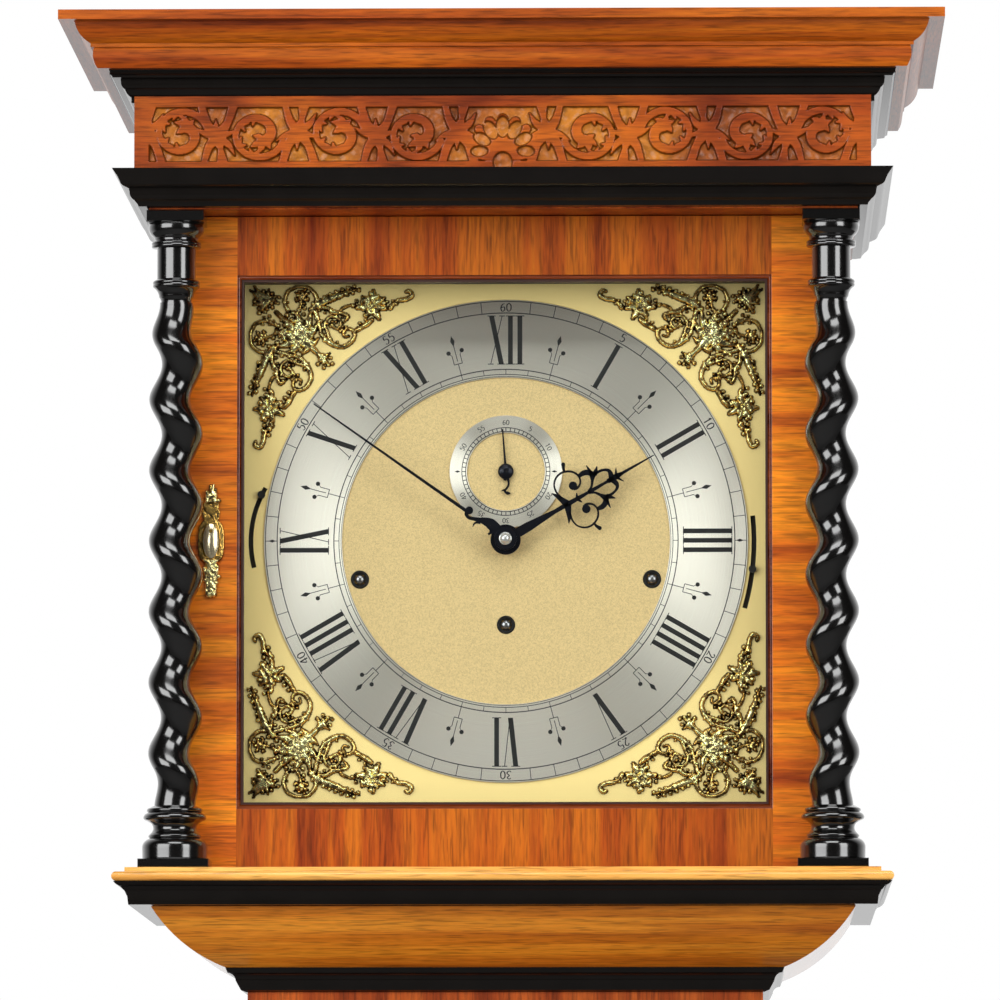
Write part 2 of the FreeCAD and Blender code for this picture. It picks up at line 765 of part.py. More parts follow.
def make_column():
    """A twisted column with its turned cap and base, standing in front of the door's right edge."""
    top = door_top - door_bottom
    cap_low = top - column_cap_height
    bell_low = cap_low - column_bell_height
    ring_low = bell_low - column_ring_height
    neck_low = ring_low - column_neck_height
    lower_low = neck_low - column_ring_height
    twist_high = lower_low - column_taper_height
    plinth_high = column_plinth_height
    torus_high = plinth_high + column_torus_height
    scotia_high = torus_high + column_scotia_height
    twist_low = scotia_high + column_base_ring_height
    cap = block(-column_cap_half, column_cap_half, -column_cap_half, column_reach, cap_low, top)
    plinth = block(-column_plinth_half, column_plinth_half, -column_plinth_half, column_reach, 0,
                   plinth_high)
    upper = turned([(column_taper_radius, twist_high), (column_lower_ring_radius, lower_low),
                    (column_lower_ring_radius, neck_low), (column_neck_radius, neck_low),
                    (column_neck_radius, ring_low), (column_ring_radius, ring_low),
                    (column_ring_radius, bell_low), (column_bell_foot_radius, bell_low),
                    (column_bell_radius, cap_low)], 0, 0)
    lower = turned([(column_plinth_half, plinth_high), (column_torus_radius, plinth_high),
                    (column_torus_radius, torus_high), (column_scotia_radius, torus_high),
                    (column_scotia_radius, scotia_high), (column_base_ring_radius, scotia_high),
                    (column_base_ring_radius, twist_low)], 0, 0)
    turns = (twist_high - twist_low) / twist_pitch
    steps = round(turns * twist_steps_per_turn)
    sections = []
    for at in range(steps + 1):
        z = twist_low + (twist_high - twist_low) * at / steps
        angle = 2 * math.pi * (turns * at / steps + twist_shift / twist_pitch)
        centre = Vector(twist_offset * math.cos(angle), twist_offset * math.sin(angle), z)
        sections.append(Part.Wire(Part.makeCircle(twist_radius, centre, up)))
    twist = Part.makeLoft(sections, True, False)
    column = twist.multiFuse([upper, lower, cap, plinth])
    column.translate(Vector(column_x, column_y, door_bottom))
    return column


def make_trunk_door():
    """The trunk door with its overlapping lip, butt hinges and keyhole plate."""
    half = trunk_door_half_width
    front = trunk_front
    panel = block(-half, half, front, front + front_thickness, trunk_door_bottom, trunk_door_top)
    lip_half = half + trunk_door_lip
    lip_y = front - slip
    lip = block(-lip_half, lip_half, lip_y - trunk_door_lip_thickness, lip_y,
                trunk_door_bottom - trunk_door_lip, trunk_door_top + trunk_door_lip)
    bridge = block(-half, half, lip_y - trunk_door_lip_thickness, front, trunk_door_bottom, trunk_door_top)
    save("trunk_door", [panel.fuse(lip).fuse(bridge)])
    knuckle_x, knuckle_y = trunk_hinge_place()
    knuckles, leaves = [], []
    third = hinge_length / 3
    bore = hinge_pin_radius + running_clearance
    for z in (trunk_door_bottom + hinge_end_distance, trunk_door_top - hinge_end_distance):
        low, high = z - third / 2, z + third / 2
        knuckle = post(hinge_knuckle_radius, knuckle_x, knuckle_y, low, high)
        tab = block(lip_half, knuckle_x, knuckle_y - hinge_leaf_thickness / 2,
                    knuckle_y + hinge_leaf_thickness / 2, low, high)
        knuckles.append(knuckle.fuse(tab).cut(post(bore, knuckle_x, knuckle_y, low - overrun,
                                                   high + overrun)))
        leaf = block(knuckle_x + hinge_knuckle_radius + slip, knuckle_x + hinge_leaf_width,
                     front - hinge_leaf_thickness, front, z - hinge_length / 2, z + hinge_length / 2)
        for ear_low in (z - hinge_length / 2, high + slip):
            ear_high = ear_low + third - slip
            ear = post(hinge_knuckle_radius, knuckle_x, knuckle_y, ear_low, ear_high)
            arm = block(knuckle_x, knuckle_x + hinge_knuckle_radius + slip * 2,
                        knuckle_y - hinge_leaf_thickness / 2, front, ear_low, ear_high)
            leaf = leaf.fuse(ear).fuse(arm)
        pin = post(hinge_pin_radius, knuckle_x, knuckle_y, z - hinge_length / 2, z + hinge_length / 2)
        leaves.append(leaf.fuse(pin))
    plate = escutcheon_plate(-half + trunk_door_lip * 2, trunk_escutcheon_z,
                             lip_y - trunk_door_lip_thickness)
    save("trunk_door_brasses", knuckles + [plate])
    save("trunk_hinge_leaves", leaves)


def trunk_hinge_place():
    """The trunk hinge pin's place, just off the lip's right edge."""
    x = trunk_door_half_width + trunk_door_lip + hinge_knuckle_radius + slip
    y = trunk_front - slip - trunk_door_lip_thickness / 2
    return x, y


def make_dial():
    """Dial plate with its holes and slots, silvered rings, spandrels, dial feet and levers."""
    half = dial_size / 2
    y = dial_front_y
    plate = block(-half, half, y, dial_rear_y, dial_centre_z - half, dial_centre_z + half)
    holes = [bar(hour_pipe_radius + touch_gap, 0, y - overrun, dial_rear_y + overrun, dial_centre_z),
             bar(centre_arbor_radius, 0, y - overrun, dial_rear_y + overrun, seconds_z)]
    for x, z in winding_places():
        holes.append(bar(winding_hole_radius, x, y - overrun, dial_rear_y + overrun, z))
    holes.append(ring_segment(left_slot_pivot_x, dial_centre_z, left_slot_radius, slot_width, y - overrun,
                              dial_thickness + 2 * overrun, left_slot_start, left_slot_sweep))
    holes.append(ring_segment(0, dial_centre_z, right_slot_radius, slot_width, y - overrun,
                              dial_thickness + 2 * overrun, right_slot_start, right_slot_sweep))
    for hole in holes:
        plate = plate.cut(hole)
    save("dial_plate", [plate])
    rings = [tube(chapter_outer_radius, chapter_inner_radius, 0, y - ring_thickness, y, dial_centre_z),
             tube(seconds_outer_radius, seconds_inner_radius, 0, y - ring_thickness, y, seconds_z)]
    save("chapter_rings", rings)
    make_spandrels()
    shutters = {
        "strike_lever": (left_slot_pivot_x, left_slot_radius, strike_shutter_start, strike_shutter_sweep),
        "chime_lever": (0, right_slot_radius, chime_shutter_start, chime_shutter_sweep)}
    for name, knob_x, knob_z in lever_places():
        bar_y = dial_rear_y + touch_gap
        knob = bar(lever_knob_radius, knob_x, y - lever_knob_length, y - touch_gap, knob_z)
        neck = bar(slot_width / 2 - slip, knob_x, y - lever_knob_length, bar_y + lever_thickness, knob_z)
        pivot_x, radius, start, sweep = shutters[name]
        shutter = ring_segment(pivot_x, dial_centre_z, radius, lever_shutter_band, bar_y, lever_thickness,
                               start, sweep)
        save(name, [knob.fuse(neck).fuse(shutter)])


def winding_places():
    """The three winding arbors in the dial: strike, going and chime."""
    return [(-side_winding_x, side_z), (0, going_z), (side_winding_x, side_z)]


def lever_places():
    """The two dial levers at rest in their arched slots: name, x and z."""
    places = []
    for name, pivot_x, radius, degrees in (
            ("strike_lever", left_slot_pivot_x, left_slot_radius, strike_lever_angle),
            ("chime_lever", 0, right_slot_radius, chime_lever_angle)):
        angle = math.radians(degrees)
        places.append((name, pivot_x + radius * math.sin(angle), dial_centre_z + radius * math.cos(angle)))
    return places


def make_spandrels():
    """Four pierced corner ornaments of C-scrolls and a leafy middle."""
    y = dial_front_y - spandrel_thickness
    thick = spandrel_thickness
    band = spandrel_band
    leg = spandrel_leg
    scroll_shares = [(0.20, 0.20, 0.13), (0.40, 0.24, 0.11), (0.60, 0.13, 0.10), (0.82, 0.08, 0.07)]
    pieces = []
    for along, across, radius in scroll_shares:
        for first, second in ((along, across), (across, along)):
            pieces.append(ring_segment(first * leg, -second * leg, radius * leg, band, y, thick, 0, 360))
    link_shares = [(0.0, 0.0), (0.62, 0.0), (0.50, 0.14), (0.34, 0.34), (0.14, 0.50), (0.0, 0.62)]
    rim = plate_from([(a * leg, -b * leg) for a, b in link_shares], y, thick)
    hole_shares = [(0.10, 0.10), (0.44, 0.07), (0.27, 0.27), (0.07, 0.44)]
    rim = rim.cut(plate_from([(a * leg, -b * leg) for a, b in hole_shares], y, thick))
    tail_shares = [(0.60, 0.0), (1.0, 0.03), (0.80, 0.05), (0.62, 0.14)]
    for mirrored in (False, True):
        points = [(b * leg, -a * leg) if mirrored else (a * leg, -b * leg) for a, b in tail_shares]
        pieces.append(plate_from(points, y, thick))
    corner = rim.multiFuse(pieces)
    corner = corner.common(block(0, leg, y, y + thick, -leg, 0))
    corners = []
    for angle in (0, 90, 180, 270):
        piece = corner.copy()
        piece.translate(Vector(-spandrel_reach, 0, spandrel_reach))
        piece.rotate(Vector(0, 0, 0), back, angle)
        piece.translate(up * dial_centre_z)
        corners.append(piece)
    save("spandrels", corners)


def hand_planes():
    """Distances in front of the dial at which the seconds, hour and minute hands start."""
    ring_front = dial_front_y - ring_thickness
    seconds_rear = ring_front - seconds_clearance
    hour_rear = seconds_rear - seconds_hand_thickness - hand_plane_gap
    minute_rear = hour_rear - hour_hand_thickness - hand_plane_gap
    return seconds_rear, hour_rear, minute_rear


def mirrored_outline(shares, scale, z):
    """A symmetrical outline from the shares of its right side, from the bottom up."""
    right_side = [(across * scale, z + along * scale) for across, along in shares]
    left_side = [(-across, height) for across, height in reversed(right_side) if across > 0]
    return right_side + left_side


def make_hands():
    """Pierced hour hand, long minute hand, seconds hand and the domed nut."""
    seconds_rear, hour_rear, minute_rear = hand_planes()
    z = dial_centre_z
    y = hour_rear - hour_hand_thickness
    length = hour_hand_length
    whole_shares = [
        [(0.030, 0.0), (0.030, 0.10), (0.0085, 0.38), (0.0085, 0.44)],
        [(0.0, 0.398), (0.040, 0.388), (0.097, 0.363), (0.055, 0.415), (0.0, 0.440)],
        [(0.0, 0.540), (0.042, 0.515), (0.058, 0.545), (0.0, 0.590)],
        [(0.0, 0.580), (0.050, 0.600), (0.112, 0.561), (0.094, 0.615), (0.131, 0.624), (0.096, 0.650),
         (0.101, 0.676), (0.055, 0.668), (0.0, 0.640)],
        [(0.0, 0.70), (0.020, 0.745), (0.038, 0.772), (0.010, 0.765), (0.0, 0.785)],
        [(0.0078, 0.40), (0.0072, 0.74), (0.0033, 1.0)]]
    arc_shares = [(0.052, 0.655), (0.070, 0.668), (0.076, 0.718), (0.010, 0.742), (0.010, 0.718),
                  (0.060, 0.704)]
    stub_shares = [(0.168, 0.462), (0.219, 0.508), (0.160, 0.505)]
    pieces = [plate_from(mirrored_outline(shares, length, z), y, hour_hand_thickness)
              for shares in whole_shares]
    pieces.append(tube(hour_hub_radius, hour_pipe_radius - hour_pipe_wall, 0, y, hour_rear, z))
    pieces.append(bar(hour_collar_radius, 0, y, hour_rear, z + hour_collar_distance))
    for sign in (-1, 1):
        pieces.append(ring_segment(sign * hour_loop_offset, z + hour_loop_distance,
                                   hour_loop_radius - hour_loop_band / 2, hour_loop_band, y,
                                   hour_hand_thickness, 0, 360))
        for shares in (arc_shares, stub_shares):
            outline = [(sign * across * length, z + along * length) for across, along in shares]
            pieces.append(plate_from(outline, y, hour_hand_thickness))
    hour = pieces[0].multiFuse(pieces[1:])
    hour = hour.cut(bar(hour_pipe_radius - hour_pipe_wall, 0, y - overrun, hour_rear + overrun, z))
    save("hour_hand", [turn_about_hub(hour, hour_hand_angle, 0, z)])

    y = minute_rear - minute_hand_thickness
    half = minute_shaft_width / 2
    tip = minute_tip_width / 2
    scroll = minute_scroll_length
    shaft = plate_from([(-half, z), (half, z), (tip, z + minute_hand_length),
                        (-tip, z + minute_hand_length)], y, minute_hand_thickness)
    hub = bar(minute_hub_radius, 0, y, minute_rear, z)
    knob = bar(minute_shaft_width, 0, y, minute_rear, z + scroll)
    wings = plate_from([(-half, z + scroll * 0.35), (0, z + scroll * 0.25), (half, z + scroll * 0.35),
                        (half * 2.5, z + scroll * 0.6), (0, z + scroll),
                        (-half * 2.5, z + scroll * 0.6)], y, minute_hand_thickness)
    minute = shaft.multiFuse([hub, knob, wings])
    minute = minute.cut(bar(centre_arbor_radius, 0, y - overrun, minute_rear + overrun, z))
    save("minute_hand", [turn_about_hub(minute, minute_hand_angle, 0, z)])
    nut = bar(nut_radius, 0, y - nut_height, y, z)
    nut = nut.makeFillet(nut_height * 0.6, [edge for edge in nut.Edges
                                            if edge.BoundBox.YMax < y - nut_height / 2])
    save("hand_nut", [nut.cut(bar(centre_arbor_radius, 0, y - nut_height / 2, y + overrun, z))])

    y = seconds_rear - seconds_hand_thickness
    half = seconds_needle_width / 2
    needle = plate_from([(-half, seconds_z), (half, seconds_z), (half / 2, seconds_z + seconds_hand_length),
                         (-half / 2, seconds_z + seconds_hand_length)], y, seconds_hand_thickness)
    hub = bar(seconds_hub_radius, 0, y, seconds_rear, seconds_z)
    tail_radius = seconds_tail_length / 4
    tail = ring_segment(0, seconds_z - seconds_tail_length + tail_radius, tail_radius,
                        seconds_needle_width, y, seconds_hand_thickness, 0, 360)
    tail_bar = block(-half, half, y, seconds_rear, seconds_z - seconds_tail_length + 2 * tail_radius,
                     seconds_z)
    hand = needle.multiFuse([hub, tail, tail_bar])
    hand = hand.cut(bar(arbor_radius / 2, 0, y - overrun, seconds_rear + overrun, seconds_z))
    save("seconds_hand", [hand])


def gear(teeth, module, x, z, y, thickness, bore, tooth_share=0.5 - backlash_share, start=0.0):
    """A toothed wheel facing the front: teeth with sloping flanks, centred on (x, z)."""
    pitch_radius = teeth * module / 2
    root = pitch_radius - 1.25 * module
    tip = pitch_radius + 0.85 * module
    step = 2 * math.pi / teeth
    points = []
    for at in range(teeth):
        middle = start + at * step
        for radius, share in ((root, 0.64), (pitch_radius, 0.5), (tip, 0.2), (tip, -0.2),
                              (pitch_radius, -0.5), (root, -0.64)):
            angle = middle - share * tooth_share * step
            points.append((x + radius * math.sin(angle), z + radius * math.cos(angle)))
    return plate_from(points, y, thickness).cut(bar(bore, x, y - overrun, y + thickness + overrun, z))


def crossed(wheel, rim_radius, x, z, y):
    """Cut the four openings between a wheel's arms."""
    hub = wheel_hub_radius
    opening = tube(rim_radius - wheel_rim, hub + wheel_arm, x, y - overrun, y + wheel_thickness + overrun, z)
    arms = [block(x - rim_radius, x + rim_radius, y - 2 * overrun, y + 3 * overrun, z - wheel_arm / 2,
                  z + wheel_arm / 2),
            block(x - wheel_arm / 2, x + wheel_arm / 2, y - 2 * overrun, y + 3 * overrun, z - rim_radius,
                  z + rim_radius)]
    return wheel.cut(opening.cut(arms[0]).cut(arms[1]))


def arbor(x, z, y0, y1, radius=arbor_radius):
    """A wheel's arbor with thinner pivots in both plates."""
    front_pivot = front_plate_y + pivot_end_shake
    rear_pivot = back_plate_y + plate_thickness - pivot_end_shake
    body = bar(radius, x, front_plate_y + plate_thickness + pivot_end_shake,
               back_plate_y - pivot_end_shake, z)
    pivot = bar(radius / 2, x, min(front_pivot, y0), max(rear_pivot, y1), z)
    return body.fuse(pivot)


def train_places():
    """Places (x, z) of the third arbor and the minute wheel's post, from the pitch distances."""
    rise = seconds_rise
    third_rise = (third_pitch_distance ** 2 - escape_pitch_distance ** 2 + rise ** 2) / (2 * rise)
    third_x = math.sqrt(third_pitch_distance ** 2 - third_rise ** 2)
    return third_x, dial_centre_z + third_rise, -motion_pitch_distance, dial_centre_z


def mesh_start(teeth, x, z, other_x, other_z, on_space):
    """Start angle that points a tooth, or a tooth space, at another wheel's centre."""
    angle = math.atan2(other_x - x, other_z - z)
    return angle + (math.pi / teeth if on_space else 0.0)


def make_movement():
    """Plates, pillars, going train, motion work, anchor with crutch, barrels and winding squares."""
    third_x, third_z, minute_x, minute_z = train_places()
    z0 = dial_centre_z
    seconds_rear, hour_rear, minute_rear = hand_planes()
    inner_front = front_plate_y + plate_thickness
    great_module = 2 * going_winding_drop / (great_wheel_teeth + centre_pinion_leaves)
    third_module = 2 * third_pitch_distance / (centre_wheel_teeth + third_pinion_leaves)
    escape_module = 2 * escape_pitch_distance / (third_wheel_teeth + escape_pinion_leaves)
    cannon_module = 2 * motion_pitch_distance / (cannon_teeth + minute_wheel_teeth)
    hour_module = 2 * motion_pitch_distance / (minute_pinion_leaves + hour_wheel_teeth)
    great_y = barrel_y + barrel_length / 2 + barrel_flange_thickness + touch_gap
    centre_y = inner_front + wheel_thickness * 2
    third_y = great_y + pinion_length * 1.25
    escape_y = centre_y + pinion_length

    holes = []
    for x, z in winding_places():
        holes.append((x, z, winding_arbor_radius + pivot_clearance))
    holes += [(0, z0, centre_arbor_radius + pivot_clearance),
              (third_x, third_z, arbor_radius / 2 + pivot_clearance),
              (0, seconds_z, arbor_radius / 2 + pivot_clearance),
              (0, anchor_z, arbor_radius / 2 + pivot_clearance)]
    plates = []
    for y in (front_plate_y, back_plate_y):
        plate = block(-plate_half_width, plate_half_width, y, y + plate_thickness, seat_top, plate_top)
        for x, z, radius in holes:
            plate = plate.cut(bar(radius, x, y - overrun, y + plate_thickness + overrun, z))
        plates.append(plate)
    post_y = front_plate_y - pinion_length * 2
    minute_post = bar(arbor_radius / 2, minute_x, post_y, front_plate_y, minute_z)
    save("movement_plates", plates + [minute_post])
    pillars = []
    for x in (-plate_half_width + pillar_inset, plate_half_width - pillar_inset):
        for z in (seat_top + pillar_inset, plate_top - pillar_inset):
            pillars.append(bar(pillar_radius, x, inner_front, back_plate_y, z))
    for x in (-dial_foot_x, dial_foot_x):
        for z in (dial_centre_z - dial_foot_z, dial_centre_z + dial_foot_z):
            pillars.append(bar(dial_foot_radius, x, dial_rear_y, front_plate_y, z))
    save("movement_pillars", pillars)

    pinion_y = great_y - pinion_length / 2 + wheel_thickness / 2
    centre = bar(centre_arbor_radius, 0, minute_rear - minute_hand_thickness - nut_height / 2,
                 back_plate_y + plate_thickness - pivot_end_shake, z0)
    start = mesh_start(centre_pinion_leaves, 0, z0, 0, going_z, True)
    centre = centre.fuse(gear(centre_pinion_leaves, great_module, 0, z0, pinion_y, pinion_length,
                              centre_arbor_radius, start=start))
    start = mesh_start(centre_wheel_teeth, 0, z0, third_x, third_z, False)
    wheel = gear(centre_wheel_teeth, third_module, 0, z0, centre_y, wheel_thickness, centre_arbor_radius,
                 start=start)
    wheel = crossed(wheel, centre_wheel_teeth * third_module / 2, 0, z0, centre_y)
    cannon_y = front_plate_y - touch_gap - pinion_length * 0.6
    start = mesh_start(cannon_teeth, 0, z0, minute_x, minute_z, False)
    cannon = gear(cannon_teeth, cannon_module, 0, z0, cannon_y, pinion_length * 0.6, centre_arbor_radius,
                  start=start)
    pipe = tube(cannon_radius, centre_arbor_radius, 0, minute_rear, cannon_y, z0)
    save("centre_arbor", [centre.fuse(wheel).fuse(cannon).fuse(pipe)])

    minute_y = cannon_y + wheel_thickness / 2
    start = mesh_start(minute_wheel_teeth, minute_x, minute_z, 0, z0, True)
    minute = gear(minute_wheel_teeth, cannon_module, minute_x, minute_z, minute_y, wheel_thickness,
                  arbor_radius / 2 + pivot_clearance, start=start)
    minute = crossed(minute, minute_wheel_teeth * cannon_module / 2, minute_x, minute_z, minute_y)
    start = mesh_start(minute_pinion_leaves, minute_x, minute_z, 0, z0, True)
    pinion = gear(minute_pinion_leaves, hour_module, minute_x, minute_z, minute_y - pinion_length,
                  pinion_length, arbor_radius / 2 + pivot_clearance, start=start)
    save("minute_wheel", [minute.fuse(pinion)])
    hour_y = cannon_y - wheel_thickness * 2
    start = mesh_start(hour_wheel_teeth, 0, z0, minute_x, minute_z, False)
    hour = gear(hour_wheel_teeth, hour_module, 0, z0, hour_y, wheel_thickness,
                hour_pipe_radius - hour_pipe_wall, start=start)
    pipe = tube(hour_pipe_radius, hour_pipe_radius - hour_pipe_wall, 0, hour_rear, hour_y, z0)
    save("hour_wheel", [hour.fuse(pipe)])

    third = arbor(third_x, third_z, 0, 0)
    start = mesh_start(third_pinion_leaves, third_x, third_z, 0, z0, True)
    third = third.fuse(gear(third_pinion_leaves, third_module, third_x, third_z,
                            centre_y - pinion_length / 2 + wheel_thickness, pinion_length / 2 +
                            wheel_thickness, arbor_radius, start=start))
    start = mesh_start(third_wheel_teeth, third_x, third_z, 0, seconds_z, False)
    wheel = gear(third_wheel_teeth, escape_module, third_x, third_z, third_y, wheel_thickness,
                 arbor_radius, start=start)
    wheel = crossed(wheel, third_wheel_teeth * escape_module / 2, third_x, third_z, third_y)
    save("third_wheel", [third.fuse(wheel)])

    escape = arbor(0, seconds_z, seconds_rear - seconds_hand_thickness, 0)
    start = mesh_start(escape_pinion_leaves, 0, seconds_z, third_x, third_z, True)
    escape = escape.fuse(gear(escape_pinion_leaves, escape_module, 0, seconds_z,
                              third_y - pinion_length / 2 + wheel_thickness / 2, pinion_length,
                              arbor_radius, start=start))
    points = []
    for at in range(escape_teeth):
        first = 2 * math.pi * at / escape_teeth
        for radius, share in ((escape_radius - escape_tooth_height, 0.0), (escape_radius, 0.45),
                              (escape_radius, 0.55), (escape_radius - escape_tooth_height, 0.6)):
            angle = first + share * 2 * math.pi / escape_teeth
            points.append((radius * math.sin(angle), seconds_z + radius * math.cos(angle)))
    wheel = plate_from(points, escape_y, wheel_thickness).cut(
        bar(arbor_radius, 0, escape_y - overrun, escape_y + overrun, seconds_z))
    save("escape_wheel", [escape.fuse(wheel)])
    make_anchor(escape_y)

    bodies = (("strike", -side_winding_x, side_z, side_wheel_teeth),
              ("going", 0, going_z, great_wheel_teeth), ("chime", side_winding_x, side_z, side_wheel_teeth))
    for name, x, z, teeth in bodies:
        y0 = barrel_y - barrel_length / 2
        y1 = y0 + barrel_length
        flange = barrel_flange_thickness
        drum = bar(barrel_radius, x, y0, y1, z)
        drum = drum.fuse(bar(barrel_flange_radius, x, y0 - flange, y0, z))
        drum = drum.fuse(bar(barrel_flange_radius, x, y1, y1 + flange, z))
        drum = drum.fuse(bar(winding_arbor_radius, x, dial_rear_y + touch_gap,
                             back_plate_y + plate_thickness - pivot_end_shake, z))
        square = block(x - winding_square / 2, x + winding_square / 2, dial_front_y,
                       dial_rear_y + touch_gap, z - winding_square / 2, z + winding_square / 2)
        drum = drum.fuse(square)
        wheel = gear(teeth, great_module, x, z, great_y, wheel_thickness,
                     winding_arbor_radius + (0 if name != "going" else pivot_clearance),
                     start=mesh_start(teeth, x, z, 0, z0, False) if name == "going" else 0.0)
        wheel = crossed(wheel, teeth * great_module / 2, x, z, great_y)
        if name == "going":
            save("great_wheel", [wheel])
        else:
            drum = drum.fuse(wheel)
        save(name + "_barrel", [drum])


def make_anchor(escape_y):
    """The anchor that spans the escape wheel, its arbor, and the crutch that drives the pendulum."""
    thick = anchor_thickness
    y = escape_y - (thick - wheel_thickness) / 2
    crutch_y = back_plate_y + plate_thickness + crutch_radius * 2 + touch_gap
    rod = bar(arbor_radius, 0, front_plate_y + plate_thickness + pivot_end_shake,
              back_plate_y - pivot_end_shake, anchor_z)
    rod = rod.fuse(bar(arbor_radius / 2, 0, front_plate_y + pivot_end_shake, crutch_y + crutch_radius * 2,
                       anchor_z))
    pieces = []
    spread = math.pi * anchor_span_teeth / escape_teeth
    end_radius = escape_radius + anchor_clearance + anchor_arm_width / 2 + anchor_clearance
    for sign in (-1, 1):
        end_x = sign * end_radius * math.sin(spread)
        end_z = seconds_z + end_radius * math.cos(spread)
        length = math.hypot(end_x, anchor_z - end_z)
        arm = block(-anchor_arm_width / 2, anchor_arm_width / 2, y, y + thick, anchor_z - length, anchor_z)
        arm.rotate(Vector(0, 0, anchor_z), back, sign * -1 * math.degrees(math.atan2(abs(end_x),
                                                                               anchor_z - end_z)) * -1)
        pieces.append(arm)
    pieces.append(bar(anchor_arm_width, 0, y, y + thick, anchor_z))
    fork_z = anchor_z - crutch_length
    pieces.append(post(crutch_radius, 0, crutch_y, fork_z, anchor_z))
    fork_half = rod_radius + crutch_slot_clearance
    bridge = block(-fork_half - crutch_radius * 2, fork_half + crutch_radius * 2, crutch_y - crutch_radius,
                   crutch_y + crutch_radius, fork_z - crutch_radius, fork_z + crutch_radius)
    pieces.append(bridge)
    for sign in (-1, 1):
        x0, x1 = sorted((sign * fork_half, sign * (fork_half + crutch_radius * 2)))
        pieces.append(block(x0, x1, crutch_y - crutch_radius, pendulum_y + rod_radius,
                            fork_z - crutch_radius, fork_z + crutch_radius))
    save("anchor", [rod.multiFuse(pieces)])

    rear = back_plate_y + plate_thickness
    cock_low = anchor_z + cock_arm_height / 2
    arm = block(-cock_width / 2, cock_width / 2, rear, pendulum_y + spring_width, cock_low,
                cock_low + cock_arm_height)
    chops = block(-spring_width / 2, spring_width / 2, pendulum_y - spring_width / 2,
                  pendulum_y + spring_width / 2, anchor_z + slip, cock_low)
    foot = block(-cock_width / 2, cock_width / 2, rear, rear + plate_thickness, cock_low,
                 plate_top)
    save("pendulum_cock", [arm.fuse(chops).fuse(foot)])


def make_pendulum():
    """Suspension spring, rod, bob and rating nut, hanging straight down."""
    y = pendulum_y
    rod_top = anchor_z - spring_length
    bob_low = bob_z - bob_radius
    spring = block(-spring_thickness / 2, spring_thickness / 2, y - spring_width / 2, y + spring_width / 2,
                   rod_top, anchor_z)
    rod_low = bob_low - rod_below_bob
    nut_top = bob_low
    nut = post(rating_nut_radius, 0, y, nut_top - rating_nut_height, nut_top)
    nut = nut.cut(post(rod_radius, 0, y, nut_top - rating_nut_height - overrun, nut_top + overrun))
    save("pendulum_rod", [spring, post(rod_radius, 0, y, rod_low, rod_top), nut])
    half, edge = bob_thickness / 2, bob_edge_thickness / 2
    rim = Vector(0, y, bob_z)
    points = [rim + back * -half, rim + back * half]
    front_arc = Part.Arc(rim + back * -half,
                         rim + back * (-half * 0.76 - edge * 0.24) + up * bob_radius * 0.5,
                         rim + back * -edge + up * bob_radius)
    rear_arc = Part.Arc(rim + back * edge + up * bob_radius,
                        rim + back * (half * 0.76 + edge * 0.24) + up * bob_radius * 0.5, rim + back * half)
    outline = Part.Wire([front_arc.toShape(), Part.makeLine(rim + back * -edge + up * bob_radius,
                                                            rim + back * edge + up * bob_radius),
                         rear_arc.toShape(), Part.makeLine(points[1], points[0])])
    bob = Part.Face(outline).revolve(rim, back, 360)
    bob = bob.cut(post(rod_radius, 0, y, bob_low - overrun, bob_z + bob_radius + overrun))
    save("pendulum_bob", [bob])


def make_weights():
    """Three brass-cased weights, each on a pulley in the bight of its cable."""
    z = pulley_z
    cable_x = pulley_radius + cable_radius + slip
    for name, x, barrel_z in (("strike", -side_winding_x, side_z), ("going", 0, going_z),
                              ("chime", side_winding_x, side_z)):
        y = barrel_y
        wide = pulley_thickness / 2
        pulley = bar(pulley_radius + pulley_groove, x, y - wide, y + wide, z)
        groove = tube(pulley_radius + pulley_groove + overrun, pulley_radius, x, y - wide / 2,
                      y + wide / 2, z)
        hole = bar(pulley_axle_radius + running_clearance, x, y - overrun, y + overrun, z)
        save(name + "_pulley", [pulley.cut(groove).cut(hole)])

        low = weight_top - weight_length
        cap = weight_cap_height
        weight = turned([(weight_radius * 0.9, low), (weight_radius, low + cap),
                         (weight_radius, weight_top - cap), (weight_radius * 0.9, weight_top)], x, y)
        hook = post(stirrup_thickness, x, y, weight_top, weight_top + stirrup_hook_height)
        outer = wide + slip + stirrup_thickness
        top = z + stirrup_width
        bottom = weight_top + stirrup_hook_height - stirrup_thickness * 2
        stirrup = block(x - stirrup_width / 2, x + stirrup_width / 2, y - outer, y + outer, bottom, top)
        inside = block(x - stirrup_width, x + stirrup_width, y - wide - slip, y + wide + slip,
                       bottom + stirrup_thickness, top + overrun)
        axle = bar(pulley_axle_radius, x, y - outer, y + outer, z)
        save(name + "_weight", [weight.fuse(hook).fuse(stirrup.cut(inside)).fuse(axle),
                                ring_segment(x, z, cable_x, cable_radius * 2, y - cable_radius,
                                             cable_radius * 2, 90, 180)])
        runs = [post(cable_radius, x + cable_x, y, z, barrel_z),
                post(cable_radius, x - cable_x, y, z, seat_top - seat_thickness)]
        save(name + "_cable", runs)


def make_gong():
    """Chime rods screwed into a block on the backboard."""
    z = seat_top - seat_thickness - gong_block_width
    y1 = backboard_front
    blk = block(-gong_block_width / 2, gong_block_width / 2, y1 - gong_block_depth, y1, z,
                z + gong_block_height)
    rods = []
    middle = (len(gong_rod_lengths) - 1) / 2
    for at, length in enumerate(gong_rod_lengths):
        x = (at - middle) * gong_rod_spacing
        rods.append(post(gong_rod_radius, x, y1 - gong_block_depth / 2, z - length, z))
    save("chime_rods", [blk] + rods)


make_case()
make_hood()
make_hood_door()
make_trunk_door()
make_dial()
make_hands()
make_movement()
make_pendulum()
make_weights()
make_gong()
